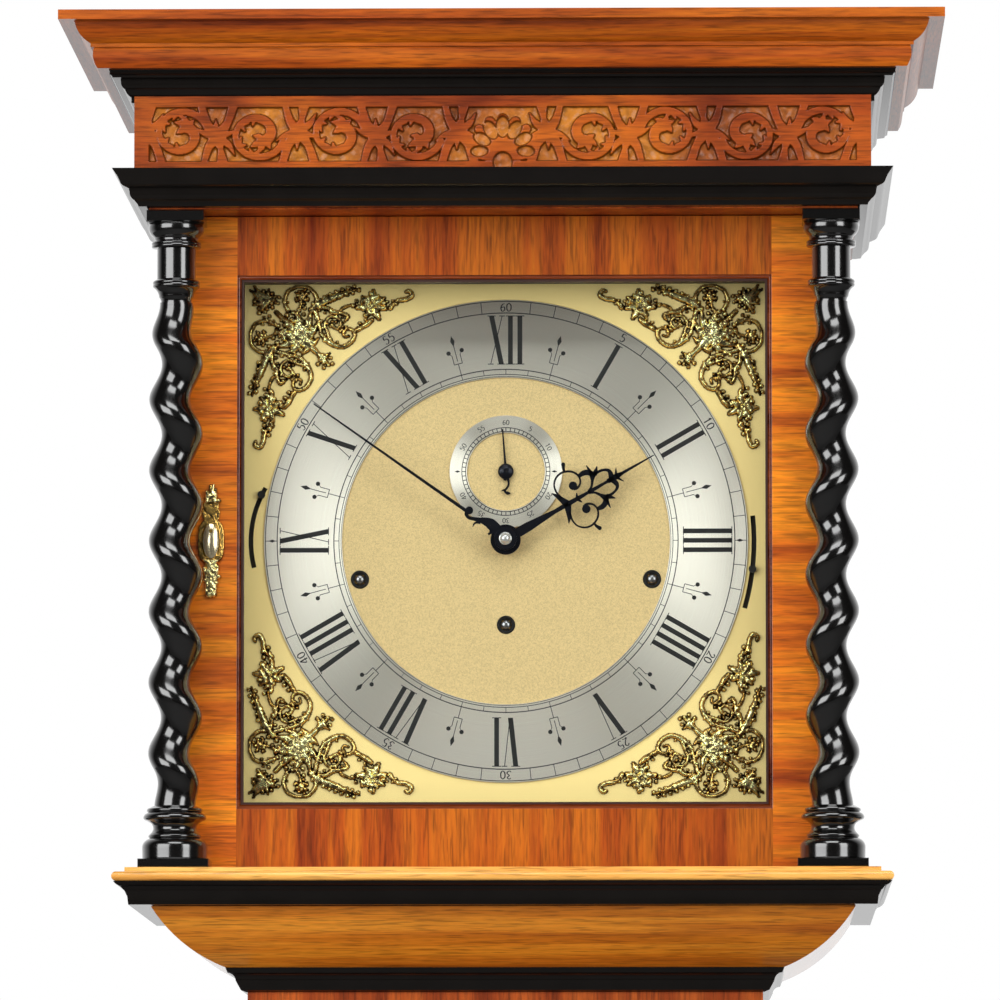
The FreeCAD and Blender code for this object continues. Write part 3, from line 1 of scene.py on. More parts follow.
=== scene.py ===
"""The looks of a longcase floor clock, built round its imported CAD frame.

The whole clock stands on the floor at the origin, with the front towards -Y and +Z up. Lengths are
written in millimetres, and Form.piece turns them into metres. The hood is the part that the photograph
shows, so most of the work is there.
"""

import logging
import math
from dataclasses import dataclass
from enum import Enum

import bpy
import numpy as np
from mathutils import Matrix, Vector


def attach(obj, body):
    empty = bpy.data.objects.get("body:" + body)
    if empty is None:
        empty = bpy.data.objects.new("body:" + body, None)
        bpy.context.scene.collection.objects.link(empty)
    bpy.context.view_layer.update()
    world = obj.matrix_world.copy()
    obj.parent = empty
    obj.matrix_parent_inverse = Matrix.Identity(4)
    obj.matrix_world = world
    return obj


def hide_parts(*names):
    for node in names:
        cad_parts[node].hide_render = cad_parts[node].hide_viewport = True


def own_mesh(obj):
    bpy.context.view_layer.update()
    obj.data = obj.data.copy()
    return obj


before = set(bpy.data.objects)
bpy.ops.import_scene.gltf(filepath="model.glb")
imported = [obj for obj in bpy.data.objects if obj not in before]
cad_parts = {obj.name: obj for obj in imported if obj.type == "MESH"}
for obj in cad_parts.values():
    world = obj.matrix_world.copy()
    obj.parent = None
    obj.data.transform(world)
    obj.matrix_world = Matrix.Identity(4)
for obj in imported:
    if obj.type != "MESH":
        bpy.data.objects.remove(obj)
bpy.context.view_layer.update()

logging.basicConfig(level=logging.INFO, format="%(message)s")
log = logging.getLogger("clock")

MM = 0.001
CORNER_LINE = 84.15
CASE_REAR = 145.0
DIAL_Z = 1765.0
SECONDS_Z = 1801.7
DOOR_Z = 1761.7
DOOR_FACE = -69.5
PLATE_Y = -31.5
RING_Y = -32.7
STILE_EDGE = 140.5
TURN = 2 * math.pi
TRAINS = (("strike", -77.2, 1744.6), ("going", 0.0, 1720.5), ("chime", 77.2, 1744.6))
Colour = tuple[float, float, float]
Points = list[tuple[float, ...]]


def paint(red: int, green: int, blue: int) -> Colour:
    """The linear colour of screen values from 0 to 255."""
    return tuple(float(share) for share in (np.array([red, green, blue]) / 255.0) ** 2.2)


class Grain(Enum):
    """Which way the veneer's grain runs."""

    UPRIGHT = "upright"
    LEVEL = "level"
    ALONG_MOULDING = "along the moulding"
    DOOR_FRAME = "level on the stiles, upright on the rails"


class Graph:
    """The node tree of a material or of the world, with short calls that add nodes and join them."""

    def __init__(self, owner: bpy.types.Material | bpy.types.World, ending: str = "OutputMaterial") -> None:
        """Empties the owner's tree.

        Args:
            owner: what the tree belongs to.
            ending: the kind of its last node.
        """
        owner.use_nodes = True
        self.owner = owner
        self.tree = owner.node_tree
        self.tree.nodes.clear()
        self.ending = self.add(ending)
        self.place = self.add("TexCoord").outputs["Object"]

    def add(self, kind: str, values: dict | None = None, **settings) -> bpy.types.Node:
        """Adds one node.

        Args:
            kind: the node's type without its ShaderNode prefix.
            values: a constant or an output socket for each named or numbered input.
            **settings: the node's own properties.

        Returns:
            The new node.
        """
        node = self.tree.nodes.new("ShaderNode" + kind)
        for name, value in settings.items():
            setattr(node, name, value)
        for key, value in (values or {}).items():
            socket = node.inputs[key]
            if isinstance(value, bpy.types.NodeSocket):
                self.tree.links.new(value, socket)
            elif isinstance(value, tuple) and len(value) == 3 and socket.type == "RGBA":
                socket.default_value = (*value, 1.0)
            else:
                socket.default_value = value
        return node

    def end(self, shader: bpy.types.Node) -> bpy.types.Material | bpy.types.World:
        """Joins the last shader to the ending and gives back the tree's owner."""
        self.tree.links.new(shader.outputs[0], self.ending.inputs[0])
        return self.owner

    def math(self, operation: str, *values) -> bpy.types.NodeSocket:
        """One step of arithmetic on numbers or their sockets."""
        return self.add("Math", dict(enumerate(values)), operation=operation).outputs[0]

    def vector(self, operation: str, *values) -> bpy.types.NodeSocket:
        """One step of arithmetic on vectors; a length or a dot product comes out as a number."""
        node = self.add("VectorMath", dict(enumerate(values)), operation=operation)
        return node.outputs[1 if operation in ("LENGTH", "DOT_PRODUCT") else 0]

    def split(self, place) -> bpy.types.bpy_prop_collection:
        """The x, y and z of a coordinate socket."""
        return self.add("SeparateXYZ", {0: place}).outputs

    def noise(self, place, scale: float, detail: float = 2.0, stretch=(1.0, 1.0, 1.0), warp: float = 0.0,
              rough: float = 0.5) -> bpy.types.NodeSocket:
        """Cloudy noise about one half.

        Args:
            place: the coordinate socket.
            scale: how many patches there are to a metre.
            detail: how many finer layers it has.
            stretch: how much faster it changes along each axis.
            warp: how far its own pattern bends it.
            rough: how strong the finer layers are.

        Returns:
            The noise's value.
        """
        moved = self.add("Mapping", {"Vector": place, "Scale": stretch}).outputs[0]
        values = {"Vector": moved, "Scale": scale, "Detail": detail, "Distortion": warp, "Roughness": rough}
        return self.add("TexNoise", values).outputs[0]

    def ramp(self, value, *stops: tuple[float, Colour | float]) -> bpy.types.NodeSocket:
        """A colour or grey picked by a value.

        Args:
            value: the socket that picks.
            *stops: each stop's place and its colour or grey.

        Returns:
            The picked colour.
        """
        node = self.add("ValToRGB", {0: value})
        elements = node.color_ramp.elements
        while len(elements) < len(stops):
            elements.new(1.0)
        for element, (at, colour) in zip(elements, stops):
            element.position = at
            element.color = (*colour, 1.0) if isinstance(colour, tuple) else (colour,) * 3 + (1.0,)
        return node.outputs[0]

    def mix(self, share, first, second, blend: str = "MIX") -> bpy.types.NodeSocket:
        """Two colours mixed, with so much of the second one."""
        values = {"Factor": share, 6: first, 7: second}
        return self.add("Mix", values, data_type="RGBA", blend_type=blend).outputs[2]

    def toned(self, colour, value, *stops: tuple[float, Colour | float], share: float = 1.0):
        """A colour multiplied by what a ramp picks.

        Args:
            colour: the colour or its socket.
            value: the socket that picks on the ramp.
            *stops: the ramp's stops.
            share: how strongly it is multiplied.

        Returns:
            The toned colour's socket.
        """
        return self.mix(share, colour, self.ramp(value, *stops), "MULTIPLY")

    def bump(self, height, depth: float, strength: float = 1.0) -> bpy.types.NodeSocket:
        """The normal bent by a relief, its depth in metres."""
        return self.add("Bump", {"Height": height, "Distance": depth, "Strength": strength}).outputs[0]

    def finish(self, **values) -> bpy.types.Material:
        """Ends the tree in one Principled surface; underscores stand for spaces in its inputs' names."""
        return self.end(self.add("BsdfPrincipled", {name.replace("_", " "): value
                                                    for name, value in values.items()}))


class Finish:
    """A kind of material; each subclass has a name and draws its own tree."""

    name: str

    def make(self) -> bpy.types.Material:
        """Builds the material."""
        return self.draw(Graph(bpy.data.materials.new(self.name)))

    def draw(self, graph: Graph) -> bpy.types.Material:
        """Draws the tree and ends it."""
        raise NotImplementedError(self.name)


@dataclass(frozen=True)
class Walnut(Finish):
    """Polished walnut veneer: bands, fibres and pores along the grain, over faint clouds; the door's rails
    and the carving's walls carry painted shade.
    """

    name: str
    grain: Grain = Grain.UPRIGHT
    light: Colour = paint(232, 136, 26)
    middle: Colour = paint(208, 104, 16)
    dark: Colour = paint(150, 60, 10)
    bands: float = 55.0
    roughness: float = 0.36
    coat: float = 0.3
    fibre: float = 0.85
    carved: bool = False
    # rail_tint darkens the door's rails against the stiles: painted shade, for the shade that falls on them
    # under the architrave.
    rail_tint: Colour = (0.6, 0.48, 0.34)
    stile_tint: Colour = (0.98, 0.96, 0.7)
    ground: Colour = paint(158, 88, 36)

    def stile(self, graph: Graph) -> bpy.types.NodeSocket:
        """One on the door's stiles and nothing on its rails."""
        away = graph.math("ABSOLUTE", graph.split(graph.place)[0])
        return graph.math("GREATER_THAN", away, STILE_EDGE * MM)

    def along_grain(self, graph: Graph) -> bpy.types.NodeSocket:
        """Coordinates whose third axis follows the grain, whichever way it runs.

        Args:
            graph: the material's tree.

        Returns:
            The coordinate socket.
        """
        if self.grain is Grain.UPRIGHT:
            return graph.place
        x, y, z = graph.split(graph.place)
        level = graph.add("CombineXYZ", {0: z, 1: y, 2: x}).outputs[0]
        if self.grain is Grain.LEVEL:
            return level
        if self.grain is Grain.ALONG_MOULDING:
            past_corner = graph.math("ADD", graph.math("ABSOLUTE", x), y)
            deep = graph.add("CombineXYZ", {0: z, 1: x, 2: y}).outputs[0]
            values = {0: graph.math("GREATER_THAN", past_corner, CORNER_LINE * MM), 4: level, 5: deep}
        else:
            values = {0: self.stile(graph), 4: graph.place, 5: level}
        return graph.add("Mix", values, data_type="VECTOR").outputs[1]

    def carve(self, graph: Graph, colour: bpy.types.NodeSocket) -> bpy.types.NodeSocket:
        """Colours the carving by its tone: a paler gritty ground, walls darkened as painted shade, and tops
        in drifting hues.

        Args:
            graph: the material's tree.
            colour: the colour of the tops.

        Returns:
            The shaded colour.
        """
        tone = graph.add("Attribute", attribute_name="tone").outputs["Fac"]
        grit = graph.noise(graph.place, 300.0, 3.0)
        ground = graph.toned(self.ground, grit, (0.3, 0.5), (0.62, 1.15), share=0.7)
        both = graph.mix(graph.ramp(tone, (0.25, 0.0), (0.6, 1.0)), ground, colour)
        # painted shade: the walls are darkened by tone, as if in shadow between the ground and the tops.
        shaded = graph.toned(both, tone, (0.0, 1.0), (0.25, 0.3), (0.8, 0.45), (1.0, 1.0))
        drift = graph.noise(graph.place, 13.0, 2.0, warp=0.6)
        return graph.toned(shaded, drift, (0.34, (0.5, 0.4, 0.45)), (0.5, (1.0, 1.0, 1.0)),
                           (0.64, (1.3, 1.6, 1.0)))

    def draw(self, graph: Graph) -> bpy.types.Material:
        """Draws the wood's figure.

        Args:
            graph: the material's tree.

        Returns:
            The material.
        """
        place = self.along_grain(graph)
        bands = graph.noise(place, self.bands, 4.0, (1.0, 1.0, 0.035), 0.25, 0.62)
        colour = graph.ramp(bands, (0.3, self.dark), (0.46, self.middle), (0.6, self.light),
                            (0.78, self.middle))
        clouds = graph.noise(place, 7.0, 2.0, (1.0, 1.0, 0.6), 0.5)
        colour = graph.toned(colour, clouds, (0.32, 0.8), (0.66, 1.08))
        fibres = graph.noise(place, 700.0, 3.0, (1.0, 1.0, 0.08), 0.1, 0.6)
        colour = graph.toned(colour, fibres, (0.32, 0.68), (0.6, 1.1), share=self.fibre)
        pores = graph.noise(place, 1000.0, 1.0, (1.0, 1.0, 0.06))
        colour = graph.toned(colour, pores, (0.34, 0.3), (0.46, 1.0), share=0.5)
        # painted shade: the rails are tinted darker than the stiles, as if in the architrave's shade.
        if self.grain is Grain.DOOR_FRAME:
            tint = graph.mix(self.stile(graph), self.rail_tint, self.stile_tint)
            colour = graph.mix(1.0, colour, tint, "MULTIPLY")
        if self.carved:
            colour = self.carve(graph, colour)
        return graph.finish(Base_Color=colour, Roughness=self.roughness, Coat_Weight=self.coat,
                            Coat_Roughness=0.16, Normal=graph.bump(pores, 0.00008, 0.12),
                            Specular_IOR_Level=0.2)


@dataclass(frozen=True)
class Paint(Finish):
    """A plain coat, dull or glossy, with faint unevenness.

    A dome (x, z, half width, half height, rise) shades a flat oval as 1 - share squared.
    """

    name: str
    colour: Colour
    roughness: float = 0.3
    gloss: float = 0.5
    metallic: float = 0.0
    mottle: float = 0.15
    lacquer: float = 0.0
    dome: tuple[float, ...] = ()

    def draw(self, graph: Graph) -> bpy.types.Material:
        """Draws the patches, and the lacquer and the dome where there are any.

        Args:
            graph: the material's tree.

        Returns:
            The material.
        """
        patches = graph.noise(graph.place, 60.0, 4.0)
        colour = graph.toned(self.colour, patches, (0.3, 1.0 - self.mottle), (0.7, 1.0 + self.mottle))
        values = {"Base_Color": colour, "Roughness": self.roughness, "Metallic": self.metallic,
                  "Specular_IOR_Level": self.gloss}
        if self.lacquer:
            values |= {"Coat_Weight": self.lacquer, "Coat_IOR": 2.0, "Coat_Roughness": 0.16}
        if self.dome:
            x, z, half_width, half_height, rise = self.dome
            off = graph.vector("SUBTRACT", graph.place, (x, 0.0, z))
            share = graph.vector("MULTIPLY", off, (1 / half_width, 0.0, 1 / half_height))
            square = graph.vector("DOT_PRODUCT", share, share)
            values["Normal"] = graph.bump(graph.math("SUBTRACT", 1.0, square), rise)
        return graph.finish(**values)


@dataclass(frozen=True)
class CastGilt(Finish):
    """Gilt casting, bright on its ridges and dark in its hollows, from patina and painted shade; it reads the
    piece's tone.
    """

    name: str

    def draw(self, graph: Graph) -> bpy.types.Material:
        """Draws the tone's colours, near black in the hollows as patina and painted shade, and the chasing
        over them.

        Args:
            graph: the material's tree.

        Returns:
            The material.
        """
        tone = graph.add("Attribute", attribute_name="tone").outputs["Fac"]
        # patina and painted shade: the lowest tones go near black, darkening the hollows as if in shadow.
        shade = graph.ramp(tone, (0.12, paint(16, 9, 3)), (0.46, paint(140, 98, 42)),
                           (0.68, paint(236, 192, 106)), (0.88, paint(255, 232, 160)))
        chasing = graph.noise(graph.place, 360.0, 1.5, warp=0.4)
        worn_and_shaded = graph.toned(shade, chasing, (0.37, 0.26), (0.49, 1.0), (0.6, 1.5))
        return graph.finish(Base_Color=worn_and_shaded, Metallic=0.9, Roughness=0.26,
                            Normal=graph.bump(chasing, 0.0016, 0.5))


@dataclass(frozen=True)
class RingSilver(Finish):
    """Silvering with circular grain, which spreads gleams along place - centre, outwards."""

    name: str
    centre_z: float
    colour: Colour = paint(255, 248, 234)

    def draw(self, graph: Graph) -> bpy.types.Material:
        """Draws faint rings and turns the gleams across them.

        Args:
            graph: the material's tree.

        Returns:
            The material.
        """
        out = graph.vector("SUBTRACT", graph.place, (0.0, 0.0, self.centre_z * MM))
        distance = graph.add("CombineXYZ", {0: graph.vector("LENGTH", out)}).outputs[0]
        lines = graph.noise(distance, 1500.0, 3.0)
        return graph.finish(Base_Color=graph.toned(self.colour, lines, (0.3, 0.93), (0.7, 1.05)),
                            Metallic=0.85, Roughness=0.48, Anisotropic=0.92,
                            Tangent=graph.vector("NORMALIZE", out))


@dataclass(frozen=True)
class DialBrass(Finish):
    """The dial plate: stippled inside the chapter ring, smooth and satin outside it, and painted lighter
    there against the recess's shade.
    """

    name: str
    # painted light: the smooth brass is paler than its own colour, making up for the shade in the recess
    # round the dial.
    smooth: Colour = paint(255, 226, 148)
    matted: Colour = paint(212, 184, 128)
    matted_radius: float = 86.8

    def draw(self, graph: Graph) -> bpy.types.Material:
        """Draws the stipple, which ends where x squared + z squared passes the radius squared.

        Args:
            graph: the material's tree.

        Returns:
            The material.
        """
        x, _, z = graph.split(graph.vector("SUBTRACT", graph.place, (0.0, 0.0, DIAL_Z * MM)))
        square = graph.math("ADD", graph.math("MULTIPLY", x, x), graph.math("MULTIPLY", z, z))
        outside = graph.math("GREATER_THAN", square, (self.matted_radius * MM) ** 2)
        stipple = graph.noise(graph.place, 1250.0, 2.0, rough=0.8)
        matted = graph.toned(self.matted, stipple, (0.36, 0.78), (0.5, 1.0), (0.64, 1.14), share=0.8)
        rough = graph.math("SUBTRACT", 0.62, graph.math("MULTIPLY", outside, 0.2))
        # the smooth outside carries painted light, its colour lightened against the recess's shade.
        return graph.finish(Base_Color=graph.mix(outside, matted, self.smooth), Metallic=0.05,
                            Roughness=rough, Normal=graph.bump(stipple, 0.0004, 0.12))


@dataclass(frozen=True)
class ClearGlass(Finish):
    """Thin window glass."""

    name: str

    def draw(self, graph: Graph) -> bpy.types.Material:
        """Draws it mostly open, with a faint glossy face.

        Args:
            graph: the material's tree.

        Returns:
            The material.
        """
        clear = graph.add("BsdfTransparent", {"Color": (0.97, 0.985, 0.98)})
        gloss = graph.add("BsdfGlossy", {"Roughness": 0.02})
        return graph.end(graph.add("MixShader", {0: 0.035, 1: clear.outputs[0], 2: gloss.outputs[0]}))


@dataclass
class Studio:
    """The camera, the lamps and the white surroundings, in metres."""

    camera_place: tuple[float, float, float] = (0.1132, -5.145, 1.3398)
    aim: tuple[float, float, float] = (-220.0, 9669.0, 845.0)
    lens: float = 349.5
    lit_point: tuple[float, float, float] = (0.0, -0.05, 1.8)
    lamps: tuple = (("left_box", (-1.78, -2.1, 2.25), (2.1, 1.7), 46.0),
                    ("right_box", (1.78, -2.1, 2.25), (1.2, 1.7), 29.0),
                    ("top_box", (0.0, -2.2, 4.15), (2.2, 1.1), 33.0))
    gleam: tuple = ((0.0, 1.0, 0.0), 0.1, 0.7, 0.015, 1.0)
    fill: tuple = ((0.0, -0.96, -0.28), -0.2, 1.0, 0.2, 1.06)

    def stand(self, name: str, data: bpy.types.ID, place: Vector, way: Vector) -> bpy.types.Object:
        """Puts a camera or a lamp in the scene.

        Args:
            name: its name.
            data: its data.
            place: where it stands.
            way: where it faces.

        Returns:
            The new object.
        """
        made = bpy.data.objects.new(name, data)
        made.location = place
        made.rotation_euler = way.to_track_quat("-Z", "Y").to_euler()
        bpy.context.scene.collection.objects.link(made)
        return made

    def make_camera(self) -> None:
        """Stands the camera in front of the hood."""
        data = bpy.data.cameras.new("camera")
        data.lens = self.lens
        data.sensor_width = 36.0
        bpy.context.scene.camera = self.stand("camera", data, Vector(self.camera_place), Vector(self.aim))

    def make_lamps(self) -> None:
        """Hangs soft lamps: a wide one left, a narrower one right and one overhead in front."""
        for name, place, size, power in self.lamps:
            data = bpy.data.lights.new(name, "AREA")
            data.shape = "RECTANGLE"
            data.size, data.size_y = size
            data.energy = power
            self.stand(name, data, Vector(place), Vector(self.lit_point) - Vector(place))

    def make_world(self) -> None:
        """Three strengths of white: for light on the clock, for gleams, and for what is looked at.

        Each of the first two maps the direction's likeness to its own way, between two limits, to two
        strengths: gleams grow towards the back, the light on the clock towards the front and below.
        """
        graph = Graph(bpy.data.worlds.new("surroundings"), "OutputWorld")
        path = graph.add("LightPath").outputs
        direction = graph.add("TexCoord").outputs["Generated"]
        levels = []
        for way, low, high, first, last in (self.gleam, self.fill):
            values = {"Value": graph.vector("DOT_PRODUCT", direction, way), "From Min": low,
                      "From Max": high, "To Min": first, "To Max": last}
            levels.append(graph.add("MapRange", values).outputs[0])
        seen = graph.math("MAXIMUM", path["Is Camera Ray"], path["Is Transmission Ray"])
        strength = graph.add("Mix", {0: path["Is Glossy Ray"], 2: levels[1], 3: levels[0]}).outputs[0]
        strength = graph.add("Mix", {0: seen, 2: strength, 3: 1.0}).outputs[0]
        white = graph.add("Background", {"Color": (1.0, 1.0, 1.0), "Strength": strength})
        bpy.context.scene.world = graph.end(white)

    def make_floor(self) -> None:
        """A floor that keeps the clock's shadow: white when looked at, greyer for what it would light."""
        graph = Graph(bpy.data.materials.new("floor_white"))
        path = graph.add("LightPath").outputs
        unseen = graph.mix(path["Is Glossy Ray"], (0.35, 0.35, 0.35), (0.15, 0.15, 0.15))
        colour = graph.mix(path["Is Camera Ray"], unseen, (0.9, 0.9, 0.9))
        glow = graph.math("MULTIPLY", path["Is Camera Ray"], 0.45)
        bpy.ops.mesh.primitive_plane_add(size=8.0)
        floor = bpy.context.active_object
        floor.name = "floor"
        floor.data.materials.append(graph.finish(
            Base_Color=colour, Roughness=0.7, Specular_IOR_Level=0.1, Emission_Color=(1.0, 1.0, 1.0),
            Emission_Strength=glow))

    def build(self) -> None:
        """Makes everything round the clock."""
        bpy.context.scene.view_settings.view_transform = "Standard"
        self.make_camera()
        self.make_lamps()
        self.make_world()
        self.make_floor()
        log.info("studio: camera, %d lamps, world, floor", len(self.lamps))


def walnut(name: str, grain: Grain, *tones: tuple[int, int, int], **settings) -> bpy.types.Material:
    """Makes a walnut finish.

    Args:
        name: the finish's name.
        grain: which way it runs.
        *tones: the light, middle and dark screen colours.
        **settings: Walnut's other fields.

    Returns:
        The material.
    """
    return Walnut(name, grain, *(paint(*tone) for tone in tones), **settings).make()


class Finishes:
    """Every material, made once."""

    def __init__(self) -> None:
        """Makes the materials."""
        self.veneer = walnut("walnut_upright", Grain.UPRIGHT, (188, 88, 28), (158, 66, 18), (110, 40, 10))
        self.door = walnut("walnut_door", Grain.DOOR_FRAME)
        moulding = Grain.ALONG_MOULDING
        self.across = walnut("walnut_cornice", moulding, (186, 95, 20), (163, 74, 15), (123, 48, 9),
                             bands=80.0)
        self.golden = walnut("walnut_golden", moulding, (232, 146, 44), (212, 122, 32), (172, 88, 22),
                             bands=90.0, roughness=0.26, coat=0.9, fibre=0.6)
        # painted highlight: pale cream walnut colours stand in for the top lamp's highlight along the nosing.
        self.nosing = walnut("walnut_nosing", moulding, (252, 194, 104), (240, 172, 84), (204, 130, 52),
                             bands=90.0, roughness=0.24, coat=1.0, fibre=0.35)
        self.bead = walnut("walnut_bead", Grain.LEVEL, (134, 66, 34), (104, 44, 20), (70, 26, 10),
                           roughness=0.22, coat=1.0)
        self.carved = walnut("walnut_carved", Grain.LEVEL, (162, 74, 20), (141, 56, 15), (97, 31, 8),
                             bands=30.0, carved=True)
        self.deal = walnut("deal", Grain.UPRIGHT, (176, 128, 78), (160, 112, 66), (120, 80, 44),
                           bands=30.0, roughness=0.6, coat=0.0)
        # painted shadow: dark brown for the strip at the sight edge, where shade falls between the bead and
        # the dial.
        self.rebate = Paint("walnut_painted_shadow", paint(58, 26, 10), 0.5).make()
        self.ebony = Paint("ebony_gloss", (0.0018, 0.0015, 0.0013), 0.14, 0.1, lacquer=1.0).make()
        self.black = Paint("ebony_satin", (0.006, 0.0048, 0.004), 0.2, 0.35).make()
        self.mask = Paint("black_paint", (0.012, 0.011, 0.01), 0.7).make()
        self.wax = Paint("black_wax", (0.012, 0.011, 0.01), 0.5).make()
        self.gut = Paint("gut_line", (0.35, 0.27, 0.16), 0.5).make()
        self.gilt = Paint("gilt_brass", paint(226, 182, 92), 0.28, metallic=1.0, mottle=0.1).make()
        self.movement = Paint("movement_brass", paint(206, 160, 82), metallic=1.0, mottle=0.1).make()
        self.blued = Paint("blued_steel", (0.012, 0.013, 0.02), 0.28, metallic=0.6, mottle=0.1).make()
        self.steel = Paint("steel", (0.42, 0.42, 0.43), metallic=1.0, mottle=0.1).make()
        self.bright = Paint("bright_steel", (0.8, 0.8, 0.78), 0.22, metallic=0.7, mottle=0.03).make()
        self.cover = Paint("polished_gilt", paint(255, 238, 196), 0.24, metallic=0.9, mottle=0.05,
                           dome=(-0.154, 1.7617, 0.0042, 0.009, 0.0016)).make()
        self.cast_gilt = CastGilt("cast_gilt").make()
        self.dial = DialBrass("dial_brass").make()
        self.silver = RingSilver("silvered_ring", DIAL_Z).make()
        self.seconds_silver = RingSilver("silvered_seconds", SECONDS_Z).make()
        self.glass = ClearGlass("clear_glass").make()


@dataclass
class PlainNodes:
    """CAD pieces that show their own shape, and those that another piece replaces."""

    finishes: Finishes

    def dress(self, material: bpy.types.Material, *names: str) -> None:
        """Gives CAD nodes a finish.

        Args:
            material: the finish.
            *names: the nodes.
        """
        for name in names:
            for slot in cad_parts[name].material_slots:
                slot.material = material
        log.info("%s on %s", material.name, ", ".join(names))

    def build(self) -> None:
        """Dresses every CAD node."""
        f = self.finishes
        self.dress(f.veneer, "trunk_sides", "trunk_front_frame", "trunk_door", "base_panels", "hood_carcase")
        self.dress(f.across, "cornice_moulding", "carved_frieze", "base_mouldings")
        self.dress(f.golden, "throat_moulding")
        # pale walnut with a painted highlight on the nosing
        self.dress(f.nosing, "hood_base_moulding")
        self.dress(f.door, "hood_door_frame")
        self.dress(f.bead, "door_bead")
        self.dress(f.deal, "backboard", "seatboard")
        self.dress(f.black, "throat_black_moulding", "hood_black_mouldings", "bun_feet")
        self.dress(f.ebony, "column_left", "column_right")
        self.dress(f.mask, "dial_mask")
        self.dress(f.dial, "dial_plate")
        self.dress(f.gilt, "spandrels", "hood_door_brasses", "trunk_door_brasses", "trunk_hinge_leaves")
        self.dress(f.cover, "keyhole_cover")
        self.dress(f.wax, "strike_lever", "chime_lever")
        self.dress(f.glass, "side_glasses", "door_glass")
        self.dress(f.movement, "movement_plates", "movement_pillars", "pendulum_cock", "hour_wheel",
                   "third_wheel", "minute_wheel", "great_wheel", "escape_wheel", "pendulum_bob")
        self.dress(f.steel, "hand_nut", "centre_arbor", "anchor", "pendulum_rod", "chime_rods")
        for train, _, _ in TRAINS:
            self.dress(f.movement, *(train + part for part in ("_barrel", "_pulley", "_weight")))
            self.dress(f.steel, train + "_cable")


def smooth(points: Points, steps: int = 8) -> np.ndarray:
    """A Catmull-Rom curve through points: each span is a cubic with slopes (next - previous) / 2.

    Args:
        points: at least two points with any number of coordinates.
        steps: samples to a span.

    Returns:
        The curve's samples, one row each.
    """
    given = np.array(points, float)
    padded = np.vstack([2 * given[0] - given[1], given, 2 * given[-1] - given[-2]])
    share = np.linspace(0, 1, steps, endpoint=False)[None, :, None]
    before, start, end, after = (padded[k:k + len(given) - 1, None] for k in range(4))
    curve = 0.5 * (2 * start + (end - before) * share
                   + (2 * before - 5 * start + 4 * end - after) * share ** 2
                   + (3 * start - before - 3 * end + after) * share ** 3)
    return np.vstack([curve.reshape(-1, given.shape[1]), given[-1]])


def rounded(points: Points, steps: int = 8) -> np.ndarray:
    """A profile whose sides may bulge: a third number on a point bends the side that leads to it.

    Args:
        points: radius and height, and an optional bulge as a share of half the side's length.
        steps: samples on each bent side.

    Returns:
        Radius and height rows.
    """
    rows = [np.array(points[0][:2], float)]
    for point in points[1:]:
        start, end = rows[-1], np.array(point[:2], float)
        if len(point) == 3:
            share = np.linspace(0, 1, steps + 1)[1:-1, None]
            side = end - start
            across = np.array([side[1], -side[0]]) * point[2] / 2
            rows.extend(start + side * share + across * 4 * share * (1 - share))
        rows.append(end)
    return np.array(rows)


def right_of(steps: np.ndarray) -> np.ndarray:
    """The unit vector on the right of each step."""
    length = np.maximum(np.linalg.norm(steps, axis=1, keepdims=True), 1e-9)
    return np.column_stack([steps[:, 1], -steps[:, 0]]) / length


def travelled(path: np.ndarray) -> np.ndarray:
    """The distance along a path at each of its points."""
    return np.concatenate([[0], np.cumsum(np.linalg.norm(np.diff(path, axis=0), axis=1))])


def evenly(values: tuple[float, ...], count: int) -> np.ndarray:
    """Values spread evenly over a number of points."""
    return np.interp(np.linspace(0, 1, count), np.linspace(0, 1, len(values)), values)


def mirrored(points: Points, side: float) -> Points:
    """Points with their first number multiplied by side."""
    return [(side * first, second) for first, second in points]


def turned(points: np.ndarray, angle: float, centre_z: float) -> np.ndarray:
    """Turns across and along into x and z about a centre on the dial.

    Args:
        points: across and along rows.
        angle: the way that along points, clockwise from the top, in degrees.
        centre_z: the centre's height.

    Returns:
        The x and z rows.
    """
    a = math.radians(angle)
    across, along = points[:, 0], points[:, 1]
    return np.column_stack([across * math.cos(a) + along * math.sin(a),
                            centre_z + along * math.cos(a) - across * math.sin(a)])


def stood(flat: np.ndarray, y: float) -> np.ndarray:
    """The x, y and z rows of x and z rows that stand at one depth."""
    return np.column_stack([flat[:, 0], np.full(len(flat), y), flat[:, 1]])


def circle(x: float, z: float, radius: float, sides: int, stretch: float = 1.0) -> np.ndarray:
    """The corners of a round or an upright diamond, anticlockwise from the right."""
    angle = np.arange(sides) * TURN / sides
    return np.column_stack([x + radius * np.cos(angle), z + radius * stretch * np.sin(angle)])


